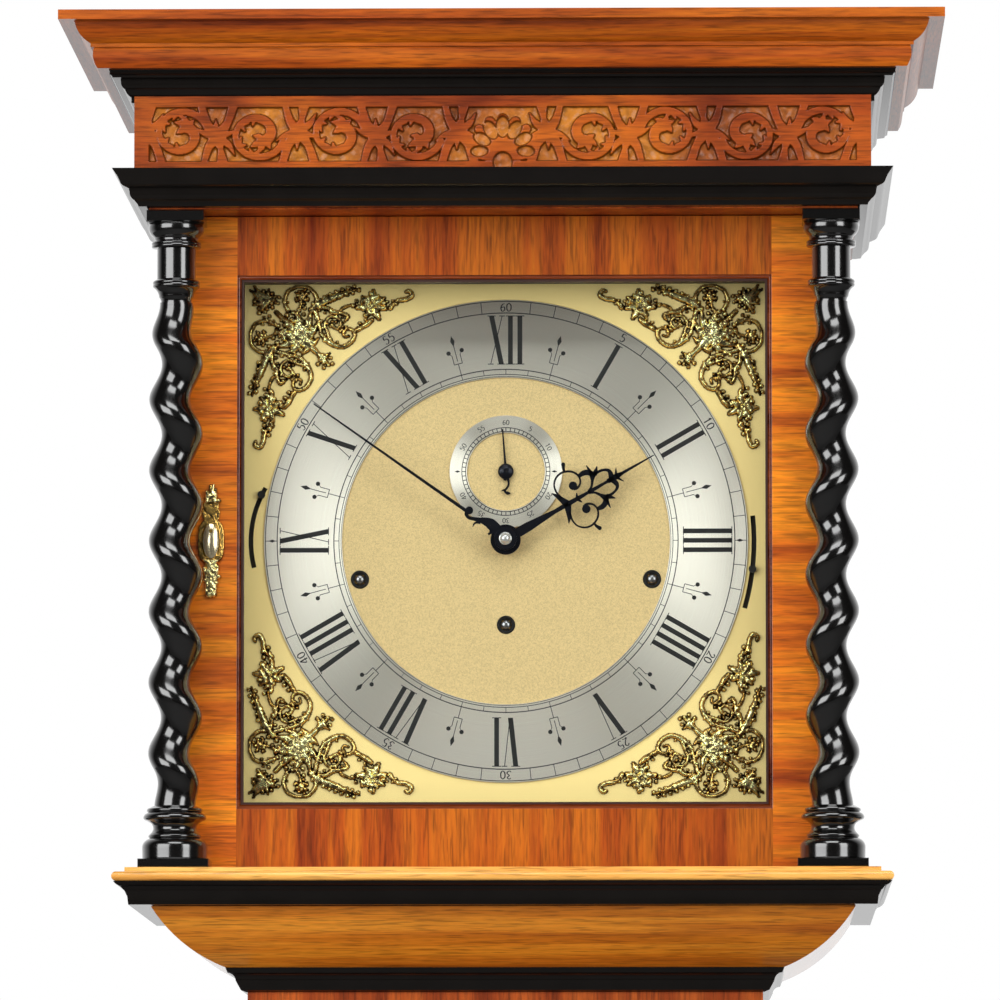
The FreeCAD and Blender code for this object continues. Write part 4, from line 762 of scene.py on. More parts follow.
class Form:
    """Surfaces gathered in millimetres until they become one piece."""

    def __init__(self) -> None:
        """Starts with nothing."""
        self.points: list[np.ndarray] = []
        self.corners: list[np.ndarray] = []
        self.sizes: list[np.ndarray] = []
        self.tones: list[np.ndarray] = []
        self.count = 0

    def add(self, points: np.ndarray, faces: np.ndarray, tone: np.ndarray | float = 1.0) -> None:
        """Adds points and equal-sized faces.

        Args:
            points: rows of x, y and z.
            faces: rows of point numbers.
            tone: how raised each point is, from 0 to 1.
        """
        self.points.append(points)
        self.corners.append((faces + self.count).ravel())
        self.sizes.append(np.full(len(faces), faces.shape[1]))
        self.tones.append(np.broadcast_to(tone, len(points)))
        self.count += len(points)

    def grid(self, points: np.ndarray, closed_u: bool = False, closed_v: bool = False, flip: bool = False,
             keep: np.ndarray | None = None, tone: np.ndarray | float = 1.0) -> None:
        """Adds a grid of points as quads.

        Args:
            points: rows by columns by three.
            closed_u: whether the last row joins the first.
            closed_v: whether the last column joins the first.
            flip: turns the faces round.
            keep: which quads stay, when not all do.
            tone: how raised each point is.
        """
        rows, columns = points.shape[:2]
        number = np.arange(rows * columns).reshape(rows, columns)
        if closed_u:
            number = np.vstack([number, number[:1]])
        if closed_v:
            number = np.hstack([number, number[:, :1]])
        quads = np.stack([number[:-1, :-1], number[:-1, 1:], number[1:, 1:], number[1:, :-1]], axis=-1)
        flat = points.reshape(-1, 3)
        tones = np.broadcast_to(tone, (rows, columns)).ravel()
        if keep is None:
            quads = quads.reshape(-1, 4)
        else:
            used, quads = np.unique(quads[keep], return_inverse=True)
            quads = quads.reshape(-1, 4)
            flat, tones = flat[used], tones[used]
        self.add(flat, quads[:, ::-1] if flip else quads, tones)

    def polygon(self, points: np.ndarray) -> None:
        """Adds one flat face, its corners anticlockwise from outside."""
        self.add(points, np.arange(len(points))[None, :])

    def tube(self, rings: np.ndarray) -> None:
        """Adds a skin over rings of points, with flat ends.

        Args:
            rings: rings by points by three, anticlockwise from the last ring's side.
        """
        self.grid(rings, closed_v=True)
        self.polygon(rings[0][::-1])
        self.polygon(rings[-1])

    def revolve(self, profile: np.ndarray | Points, x: float, y: float, z: float, sides: int = 64,
                forward: bool = False) -> None:
        """Turns a profile about an axis: point k at angle a stands at (r cos a, r sin a, h).

        Args:
            profile: radius and height rows, with the outside on the right of their direction.
            x: the axis's x.
            y: where the axis starts in y.
            z: where the axis starts in z.
            sides: how many sides the round has.
            forward: whether the axis runs towards the front instead of up.
        """
        profile = np.asarray(profile, float)
        angle = np.arange(sides) * TURN / sides
        radius, height = profile[:, :1], profile[:, 1:] + 0 * angle
        across, along = radius * np.cos(angle), radius * np.sin(angle)
        parts = (across, -height, along) if forward else (across, along, height)
        self.grid(np.stack(parts, axis=-1) + np.array((x, y, z), float), closed_v=True)

    def plate(self, outline: np.ndarray | Points, front: float, rear: float, bevel: float = 0.0) -> None:
        """Adds a flat plate that faces the front, with its front edge bevelled.

        Args:
            outline: x and z rows, anticlockwise seen from the front.
            front: the front face's y.
            rear: the rear face's y.
            bevel: the bevel's width.
        """
        outline = np.asarray(outline, float)
        ahead = np.roll(outline, -1, axis=0) - outline
        behind = outline - np.roll(outline, 1, axis=0)
        inward = -(right_of(ahead) + right_of(behind)) / 2
        self.tube(np.stack([stood(outline, rear), stood(outline, front + bevel),
                            stood(outline + inward * bevel, front)]))

    def box(self, low: tuple[float, float, float], high: tuple[float, float, float]) -> None:
        """Adds a box between two corners."""
        self.plate([(low[0], low[2]), (high[0], low[2]), (high[0], high[2]), (low[0], high[2])],
                   low[1], high[1])

    def band(self, path: np.ndarray, widths: np.ndarray, front: float, rear: float, bevel: float) -> None:
        """Adds a plate that follows a path.

        Args:
            path: x and z rows.
            widths: the band's width at each row.
            front: the front face's y.
            rear: the rear face's y.
            bevel: the bevel's width.
        """
        half = right_of(np.gradient(path, axis=0)) * widths[:, None] / 2
        self.plate(np.vstack([path + half, (path - half)[::-1]]), front, rear, bevel)

    def piece(self, name: str, material: bpy.types.Material, body: str, slot: str,
              replaces: tuple[str, ...] = (), sharp: float = 35.0) -> bpy.types.Object:
        """Makes the piece, in metres, with its place in its mesh.

        Args:
            name: the piece's name.
            material: its finish.
            body: the CAD body that it rides on.
            slot: the record's material slot; not used.
            replaces: the CAD nodes that it stands for.
            sharp: the angle above which an edge stays sharp, in degrees.

        Returns:
            The object.
        """
        points = np.vstack(self.points) * MM
        corners = np.concatenate(self.corners).astype(np.int32)
        sizes = np.concatenate(self.sizes)
        mesh = bpy.data.meshes.new(name)
        mesh.vertices.add(len(points))
        mesh.vertices.foreach_set("co", points.ravel())
        mesh.loops.add(len(corners))
        mesh.loops.foreach_set("vertex_index", corners)
        mesh.polygons.add(len(sizes))
        starts = np.concatenate([[0], np.cumsum(sizes)[:-1]]).astype(np.int32)
        mesh.polygons.foreach_set("loop_start", starts)
        mesh.polygons.foreach_set("use_smooth", np.ones(len(sizes), bool))
        tone = mesh.attributes.new("tone", "FLOAT", "POINT")
        tone.data.foreach_set("value", np.concatenate(self.tones).astype(np.float32))
        mesh.update(calc_edges=True)
        mesh.validate()
        mesh.set_sharp_from_angle(angle=math.radians(sharp))
        mesh.materials.append(material)
        made = bpy.data.objects.new(name, mesh)
        bpy.context.scene.collection.objects.link(made)
        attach(made, body)
        if replaces:
            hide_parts(*replaces)
        log.info("%s: %d points on %s", name, len(points), body)
        return made


class Relief:
    """Carving or casting that faces the front, raised by round or flat strokes on a fine grid."""

    def __init__(self, x0: float, x1: float, z0: float, z1: float, pitch: float) -> None:
        """Starts flat.

        Args:
            x0: the left edge.
            x1: the right edge.
            z0: the lower edge.
            z1: the upper edge.
            pitch: the grid's spacing.
        """
        self.x = np.arange(x0, x1 + pitch / 2, pitch)
        self.z = np.arange(z0, z1 + pitch / 2, pitch)
        self.pitch = pitch
        self.height = np.zeros((len(self.z), len(self.x)))

    def raised(self, least: float = 0.02) -> np.ndarray:
        """Which quads have a corner that stands at least so high."""
        height = self.height
        return np.maximum.reduce([height[:-1, :-1], height[1:, :-1], height[:-1, 1:], height[1:, 1:]]) > least

    def stamp(self, x: float, z: float, radius: float, height: float, flat: float = 0.0) -> None:
        """Raises one spot to h sqrt(1 - (d / r)^2), or to a flat top with sloping sides.

        Args:
            x: the spot's x.
            z: the spot's z.
            radius: its radius.
            height: its height.
            flat: the slope's width, or zero for a round top.
        """
        columns = slice(*np.searchsorted(self.x, (x - radius, x + radius)))
        rows = slice(*np.searchsorted(self.z, (z - radius, z + radius)))
        distance = np.hypot(self.x[columns] - x, (self.z[rows] - z)[:, None])
        if flat:
            spot = height * np.clip((radius - distance) / flat, 0, 1)
        else:
            spot = height * np.sqrt(np.clip(1 - (distance / radius) ** 2, 0, 1))
        self.height[rows, columns] = np.maximum(self.height[rows, columns], spot)

    def stroke(self, points: Points, radii: tuple[float, ...], height: float, flat: float = 0.0) -> None:
        """Raises a smooth stroke through points.

        Args:
            points: x and z.
            radii: half widths, spread evenly along the stroke.
            height: the height where the stroke is widest; thinner parts of a round one are lower.
            flat: the slope's width, or zero for a round top.
        """
        path = smooth(points, 12)
        along = travelled(path)
        spots = np.arange(0, along[-1] + self.pitch, self.pitch * 0.7)
        share = spots / max(along[-1], 1e-9)
        radius = np.interp(share, np.linspace(0, 1, len(radii)), radii)
        tops = np.full(len(spots), height) if flat else height * np.sqrt(radius / max(radii))
        xs, zs = (np.interp(spots, along, values) for values in path.T)
        for x, z, r, top in zip(xs, zs, radius, tops):
            self.stamp(x, z, r, top, flat)

    def lumps(self, points: Points, gap: float, size: float, height: float, away: float) -> None:
        """Sets small round lumps along both sides of a stroke, like the lobes of a leaf.

        Args:
            points: the stroke's x and z.
            gap: the distance from one lump to the next.
            size: a lump's radius.
            height: its height.
            away: its distance from the stroke's middle.
        """
        path = smooth(points, 12)
        along = travelled(path)
        side = right_of(np.gradient(path, axis=0))
        for at, spot in enumerate(np.arange(gap / 2, along[-1], gap)):
            x, z, u, v = (np.interp(spot, along, values) for values in (*path.T, *side.T))
            grow = 1 + 0.22 * math.sin(7.3 * at + 3.1 * x)
            reach = away * grow * (1 if at % 2 else -1)
            self.stamp(x + reach * u, z + reach * v, size * grow, height)

    def cluster(self, x: float, z: float, count: int, spread: float, size: float, height: float) -> None:
        """Sets lumps like a sunflower's seeds: lump k stands at spread sqrt(k), turned k golden angles.

        Args:
            x: the cluster's x.
            z: its z.
            count: how many lumps there are.
            spread: how far apart they stand.
            size: a lump's radius.
            height: its height.
        """
        for k in range(count):
            reach, turn = spread * math.sqrt(k), 2.39996 * k
            self.stamp(x + reach * math.cos(turn), z + reach * math.sin(turn), size,
                       height * (1 - 0.25 * k / count))

    def sink(self, x: float, z: float, long: float, wide: float, lean: float, flat: float) -> None:
        """Cuts an oval pocket with sloping sides.

        Args:
            x: the pocket's x.
            z: its z.
            long: half its length.
            wide: half its width.
            lean: its turn from upright, clockwise, in degrees.
            flat: the slope's width.
        """
        a = math.radians(lean)
        dx, dz = self.x[None, :] - x, self.z[:, None] - z
        along = dx * math.sin(a) + dz * math.cos(a)
        across = dx * math.cos(a) - dz * math.sin(a)
        out = (np.hypot(along / long, across / wide) - 1) * min(long, wide)
        self.height = np.minimum(self.height, self.height.max() * np.clip(out / flat, 0, 1))


@dataclass
class TwistColumn:
    """One ebonised column: turned cap and base on a shaft whose round section circles the axis."""

    finishes: Finishes
    side: int
    x: float = 171.6
    y: float = -88.0
    top: float = 1933.2
    bottom: float = 1589.2
    pitch: float = 37.1
    radius: float = 10.8
    neck_radius: float = 8.5
    offset: float = 3.3
    shift: float = 7.5
    fade: float = 22.0
    twist_low: float = 1620.1
    twist_high: float = 1885.7
    base: tuple = (
        (0, 1593.4), (16.4, 1593.4), (17.0, 1594.2), (17.1, 1599.0), (14.8, 1604.0, 0.3), (13.2, 1604.8),
        (13.6, 1606.4, 0.5), (12.4, 1607.6), (12.2, 1612.4, -0.4), (14.4, 1613.8), (15.6, 1617.4, 0.8),
        (14.0, 1618.2), (14.4, 1620.1, 0.5), (11.4, 1621.6), (0, 1621.8))
    cap: tuple = (
        (0, 1883.6), (8.4, 1884.0), (9.0, 1888.6, -0.3), (11.4, 1893.3, -0.2), (12.1, 1895.3, 0.5),
        (11.4, 1897.4, 0.5), (10.1, 1898.0), (10.1, 1914.0), (12.0, 1914.3), (12.8, 1916.0, 0.6),
        (12.0, 1917.8, 0.6), (11.5, 1918.3), (12.2, 1920.4, -0.3), (14.2, 1927.4, 0.35), (0, 1927.6))

    def shaft(self, form: Form) -> None:
        """The twist: at height z the section's centre stands at offset (cos a, sin a).

        The angle a is 2 pi (z + shift) / pitch, and the offset eases to nothing at both ends.

        Args:
            form: the column's surfaces.
        """
        height = np.linspace(self.twist_low, self.twist_high, 230)[:, None]
        angle = TURN * (height - self.twist_low + self.shift) / self.pitch
        if self.side < 0:
            angle = math.pi - angle
        ease = np.clip((self.twist_high - height) / self.fade, 0, 1) ** 0.8
        reach = self.offset * ease * np.clip((height - self.twist_low) / self.fade, 0, 1)
        radius = self.neck_radius + (self.radius - self.neck_radius) * ease
        turn = np.arange(64) * TURN / 64
        x = self.side * self.x + reach * np.cos(angle) + radius * np.cos(turn)
        y = self.y + reach * np.sin(angle) + radius * np.sin(turn)
        form.grid(np.stack([x, y, height + 0 * turn], axis=-1), closed_v=True)

    def build(self) -> None:
        """Makes the column and lets it stand for the CAD one."""
        form = Form()
        axis_x = self.side * self.x
        for profile in (self.base, self.cap):
            form.revolve(rounded(profile), axis_x, self.y, 0.0)
        self.shaft(form)
        for half, low, high in ((15.1, 1927.5, self.top), (18.5, self.bottom, 1593.5)):
            left, right = axis_x - half, axis_x + half
            form.plate([(left, low), (right, low), (right, high), (left, high)], self.y - half,
                       DOOR_FACE, 0.5)
        name = "column_left" if self.side < 0 else "column_right"
        form.piece("twist_" + name, self.finishes.ebony, "hood_door", "ebonised", (name,), 30.0)


@dataclass
class Hand:
    """One blued hand with bevelled edges, drawn in millimetres across and along it."""

    angle: float
    front: float
    rear: float
    centre_z: float = DIAL_Z
    bevel: float = 0.22

    def __post_init__(self) -> None:
        """Starts its surfaces."""
        self.form = Form()

    def bands(self, *bands: tuple[Points, tuple[float, ...]]) -> None:
        """Adds smooth strips.

        Args:
            *bands: the points and the widths of each.
        """
        for points, widths in bands:
            path = smooth(points)
            self.form.band(turned(path, self.angle, self.centre_z), evenly(widths, len(path)), self.front,
                           self.rear, self.bevel)

    def disc(self, across: float, along: float, radius: float) -> None:
        """Adds a round boss a little in front of the strips."""
        edge = turned(circle(across, along, radius, 24), self.angle, self.centre_z)
        self.form.plate(edge, self.front - 0.15, self.rear, 0.35)

    def hub(self, radius: float, bore: float, rise: float) -> None:
        """Adds a ring about the arbor.

        Args:
            radius: its radius.
            bore: its hole's radius.
            rise: how far it stands in front of the strips.
        """
        front, rear = rise - self.front, -self.rear
        profile = [(bore, rear), (radius, rear), (radius, front - 0.3), (radius - 0.4, front),
                   (bore + 0.3, front), (bore, front - 0.3), (bore, rear)]
        self.form.revolve(profile, 0.0, 0.0, self.centre_z, forward=True)


@dataclass
class HandSet:
    """The pierced hour hand, the minute hand and the seconds hand."""

    finishes: Finishes

    def hour_hand(self) -> None:
        """The hour hand: its middle, then what each side mirrors."""
        hand = Hand(60.3, -40.0, -38.8)
        for side in (-1, 1):
            hand.disc(side * 7.1, 45.0, 2.25)
            hand.disc(side * 19.4, 46.1, 1.1)
        hand.bands(([(0, 6), (0, 14), (0, 30), (0, 38)], (5.2, 5.0, 2.2, 2.6)),
                   ([(0, 37), (0, 41), (0, 45), (0, 50)], (3.0, 2.4, 2.2, 1.5)),
                   ([(0, 50), (0, 53), (0, 60), (0, 64)], (1.6, 2.0, 1.5, 1.9)),
                   ([(0, 62), (0, 67), (0, 71)], (2.4, 3.2, 1.7)),
                   ([(0, 69), (0, 78), (0, 90)], (1.8, 1.3, 0.5)))
        halves = (
            ([(0, 37.6), (3.5, 36.2), (6.5, 34.9), (9.2, 33.2)], (4.2, 3.0, 2.0, 0.4)),
            ([(4.0, 36.4), (8.5, 35.7), (12.5, 36.6), (15.3, 39.6), (16.0, 43.4), (14.6, 47.2), (12.0, 49.5),
              (9.0, 50.1), (6.4, 49.0), (5.0, 46.6), (5.6, 44.4)],
             (1.6, 1.0, 0.9, 1.0, 1.1, 1.1, 1.1, 1.0, 1.1, 1.3, 2.0)),
            ([(0, 43.6), (1.6, 44.2), (2.9, 44.9)], (2.0, 1.2, 0.4)),
            ([(15.6, 44.8), (17.6, 45.2), (19.4, 46.1)], (0.9, 1.6, 2.1)),
            ([(0, 50.2), (1.8, 53.2), (4.4, 55.2), (7.2, 56.9)], (1.6, 1.2, 1.6, 3.6)),
            ([(6.4, 56.6), (9.0, 56.6), (13.0, 56.4)], (2.6, 2.0, 0.4)),
            ([(6.6, 57.6), (8.0, 59.4), (9.8, 61.2)], (3.0, 2.0, 0.4)),
            ([(7.6, 56.8), (9.4, 55.2), (10.2, 52.8), (9.9, 49.8)], (3.0, 3.0, 2.8, 1.8)),
            ([(6.6, 57.0), (6.9, 60.0), (6.4, 63.0), (4.9, 65.2), (2.8, 65.4), (0, 64.4)],
             (2.6, 1.5, 1.3, 1.8, 2.6, 3.0)),
            ([(0, 67.4), (2.0, 68.2), (4.2, 69.5)], (2.4, 1.2, 0.3)))
        for side in (-1, 1):
            hand.bands(*((mirrored(points, side), widths) for points, widths in halves))
        hand.hub(8.0, 4.0, 0.3)
        hand.form.piece("hour_hand_pierced", self.finishes.blued, "hour_wheel", "blued_steel", ("hour_hand",))

    def minute_hand(self) -> None:
        """The minute hand, with its scroll near the hub and a long taper."""
        hand = Hand(-54.7, -46.2, -45.0)
        hand.bands(
            ([(0.6, 4), (1.5, 8), (1.9, 11), (1.3, 14), (0.3, 16.8), (-1.0, 19.6), (-2.0, 22.0),
              (-1.4, 24.2), (0.4, 24.9)], (6.0, 6.0, 5.8, 4.2, 2.3, 1.9, 1.8, 1.9, 2.2)),
            ([(-0.6, 15.6), (-1.6, 17.2), (-3.2, 18.0), (-4.9, 17.6)], (1.8, 1.3, 0.9, 0.3)),
            ([(-0.6, 8.6), (-2.2, 8.2), (-3.4, 8.8)], (1.8, 1.3, 1.2)),
            ([(0.1, 25), (0, 60), (0, 124)], (1.8, 1.5, 0.7)))
        hand.disc(1.2, 24.2, 2.1)
        hand.hub(6.0, 2.0, 0.2)
        hand.form.piece("minute_hand_scrolled", self.finishes.blued, "minute_arbor", "blued_steel",
                        ("minute_hand",))

    def seconds_hand(self) -> None:
        """The seconds hand: needle, domed hub and a tail curled like an S."""
        hand = Hand(-4.5, -33.8, -33.1, SECONDS_Z, 0.1)
        hand.bands(
            ([(0, 2), (0, 12), (0, 22.6)], (1.3, 1.0, 0.7)),
            ([(0.6, -3.6), (1.0, -5.6), (0.7, -7.6), (-0.5, -9.2), (-1.4, -10.0), (-1.0, -11.0),
              (0.1, -11.6), (1.5, -11.9)], (1.6, 1.1, 1.1, 1.1, 1.2, 1.2, 1.9, 0.6)),
            ([(-0.5, -3.4), (-1.0, -4.8)], (2.2, 1.2)),
            ([(-1.2, -9.8), (-2.2, -9.9), (-3.2, -10.2)], (1.2, 0.9, 0.3)))
        dome = [(0, 33.1), (4.2, 33.1), (4.2, 33.5), (2.8, 35.0, 0.3), (0, 35.6, 0.2)]
        hand.form.revolve(rounded(dome), 0.0, 0.0, SECONDS_Z, forward=True)
        hand.form.piece("seconds_hand_curled", self.finishes.blued, "escape_arbor", "blued_steel",
                        ("seconds_hand",))

    def build(self) -> None:
        """Makes the three hands."""
        self.hour_hand()
        self.minute_hand()
        self.seconds_hand()


@dataclass
class Spandrels:
    """Four gilt castings of scrolls and leaves, each a mirror image of the upper left one.

    The strokes are drawn on squares of one unit, u to the right and v down from the corner; the lower
    arm is the same drawing with u and v changed over. Each stroke has points, half widths and a height.
    """

    finishes: Finishes
    unit: float = 0.881
    corner: float = 137.1
    fullness: float = 1.12
    arm: tuple = (
        (((38, 16), (44, 12), (51, 9), (59, 6), (68, 3)), (1.3, 2.2, 2.0, 1.2, 0.4), 2.6),
        (((44, 13), (48, 7.5), (50, 6)), (0.9, 0.7, 0.3), 2.0),
        (((50, 11), (55, 5.4), (57, 4)), (0.9, 0.7, 0.3), 2.0),
        (((55, 9), (61, 3.4), (63, 2.4)), (0.9, 0.7, 0.3), 2.0),
        (((41, 17), (43, 24), (45, 31), (50, 36), (57, 38.4), (63, 35), (64.6, 30), (61, 27.4), (57.8, 29.5),
          (58.6, 32.4), (61, 32)), (1.4, 1.2, 1.1, 1.3, 1.5, 1.3, 1.2, 1.1, 1.0, 0.8, 0.7), 2.4),
        (((50, 35), (48, 29), (46.6, 24.5), (49.5, 20.5), (54, 20.8), (56.4, 24), (54.4, 27.4), (51.8, 26)),
         (1.0, 1.0, 0.9, 0.9, 0.9, 0.9, 0.8, 1.0), 2.2),
        (((43, 15), (48, 15), (52, 17.6), (56, 18), (60.5, 20), (58, 24)), (1.0, 1.3, 1.4, 1.2, 1.1, 0.4),
         2.2),
        (((56, 18), (57, 15.5), (61, 13.5), (65, 13)), (0.8, 0.9, 0.8, 0.6), 1.8),
        (((66, 28.5), (69, 26.5), (72, 24.6), (75, 22)), (1.2, 1.3, 1.6, 1.2), 2.2),
        (((64, 30), (66.5, 27.5)), (1.0, 1.2), 1.8),
        (((86, 15), (89, 11.5), (93, 10)), (1.4, 1.0, 1.4), 2.2),
        (((93, 10.6), (96, 9.6), (99, 7.6), (97.6, 4.6), (95.6, 5.4)), (1.0, 1.3, 1.3, 1.1, 0.9), 2.4),
        (((30, 2), (24.5, 5), (22.6, 11), (24.6, 16.6)), (0.9, 1.0, 1.1, 1.2), 2.2),
        (((30, 2), (36.5, 2.6), (41, 7), (41.6, 12), (39, 17)), (0.9, 1.0, 1.1, 1.2, 1.0), 2.2),
        (((33, 8), (32, 14), (30, 18)), (1.0, 0.8, 1.0), 2.0))
    bud: tuple = ((33, 8), ((33, 4.4), (29, 5.6), (37, 6), (36.6, 10.6), (29.4, 11)))
    middle: tuple = (
        (((38, 38), (42, 42), (46, 46)), (1.8, 1.4, 1.6), 2.6),
        (((45, 45), (49.6, 42.4)), (1.5, 0.5), 2.4),
        (((45, 45), (49.6, 49.6)), (1.6, 0.5), 2.4),
        (((40, 36), (43, 33)), (1.6, 0.6), 2.2),
        (((30, 30), (24, 24), (19, 19)), (3.0, 2.2, 0.8), 2.6),
        (((31, 29), (31, 22), (28, 17)), (2.6, 2.2, 0.8), 2.8),
        (((33, 29), (37, 24), (38, 18)), (2.4, 2.2, 0.9), 3.0),
        (((35, 31), (39.6, 29), (42, 24)), (2.4, 1.8, 0.7), 2.8),
        (((30, 30), (35, 35), (40, 40)), (4.2, 3.8, 1.4), 3.2),
        (((27, 33), (30, 36)), (2.6, 1.4), 2.6),
        (((21, 21), (17.4, 17.4)), (1.2, 1.2), 2.0))
    leafy: tuple = (
        (((38, 15), (48, 9), (58, 5.5), (67, 3)), 1.9, 1.15),
        (((42, 20), (44, 28), (48, 34), (54, 37)), 2.3, 1.05),
        (((43, 15), (52, 18), (60, 20)), 1.8, 1.15),
        (((66, 27), (75, 21)), 2.0, 1.2),
        (((63, 12), (70, 13)), 1.7, 1.3),
        (((82, 13), (92, 11)), 1.7, 1.2),
        (((22, 22), (36, 16)), 1.9, 1.3),
        (((24, 17), (23, 9)), 2.2, 0.9),
        (((16, 8), (22, 13)), 1.8, 1.1))
    root: float = 11.5
    leaves: tuple = ((1.5, 4.0), (4.6, 2.6), (9.0, 4.6), (13.0, 3.4), (17.6, 7.6), (14.6, 10.6))
    petals: int = 7
    rosette: tuple[float, float] = (75.5, 13.5)
    clusters: tuple = (
        (31, 31, 34, 1.7, 1.75, 3.6), (10.5, 10.5, 22, 1.5, 1.35, 2.6), (75.5, 13.5, 16, 1.9, 1.6, 3.2),
        (33, 8, 12, 1.35, 1.1, 2.4), (57, 28, 6, 1.3, 1.1, 2.2), (51, 25, 6, 1.3, 1.1, 2.2),
        (47, 47, 10, 1.6, 1.3, 2.8))

    def strokes(self) -> list[tuple]:
        """Every stroke of one arm and of the middle, with the corner's leaves and the rosette's petals."""
        heart, tips = self.bud
        strokes = [*self.middle, *self.arm, *(((heart, tip), (1.3, 0.5), 2.0) for tip in tips)]
        for u, v in self.leaves:
            bend = ((self.root + u) / 2, (self.root - 1 + v) / 2)
            strokes.append((((self.root, self.root), bend, (u, v)), (1.6, 1.5, 0.5), 2.4))
        centre = np.array(self.rosette)
        for at in range(self.petals):
            angle = TURN * (at + 0.3) / self.petals
            reach = 9.6 if at % 2 else 8.2
            way = np.array([math.cos(angle), math.sin(angle)])
            strokes.append(((centre, centre + way * 3.6, centre + way * (reach, reach * 0.92)),
                            (0.7, 2.1, 1.1), 2.6))
            strokes.append(((centre, centre + way * 5.6), (0.4, 0.5), 3.0))
        return strokes

    def draw(self) -> Relief:
        """Raises one casting, with u to the right and v down."""
        relief = Relief(0.0, 101.0, 0.0, 101.0, 0.46)
        for points, radii, top in self.strokes():
            for path in (points, [(v, u) for u, v in points]):
                relief.stroke(path, tuple(radius * self.fullness for radius in radii), top)
        for points, gap, size in self.leafy:
            for path in (points, [(v, u) for u, v in points]):
                relief.lumps(path, gap, size, 2.4, 1.5)
        for u, v, *shape in self.clusters:
            relief.cluster(u, v, *shape)
            relief.cluster(v, u, *shape)
        return relief

    def build(self) -> None:
        """Makes the four castings; the first one stands for the CAD's four."""
        relief = self.draw()
        u, v = np.meshgrid(relief.x, relief.z)
        for name, right, down in (("upper_left", -1, 1), ("upper_right", 1, 1), ("lower_left", -1, -1),
                                  ("lower_right", 1, -1)):
            form = Form()
            points = np.stack([right * (self.corner - u * self.unit), PLATE_Y - relief.height,
                               DIAL_Z + down * (self.corner - v * self.unit)], axis=-1)
            form.grid(points, flip=right == down, keep=relief.raised(),
                      tone=np.clip(relief.height / 2.6, 0, 1))
            form.piece("spandrel_" + name, self.finishes.cast_gilt, "case", "gilt_brass",
                       ("spandrels",) if name == "upper_left" else (), 60.0)


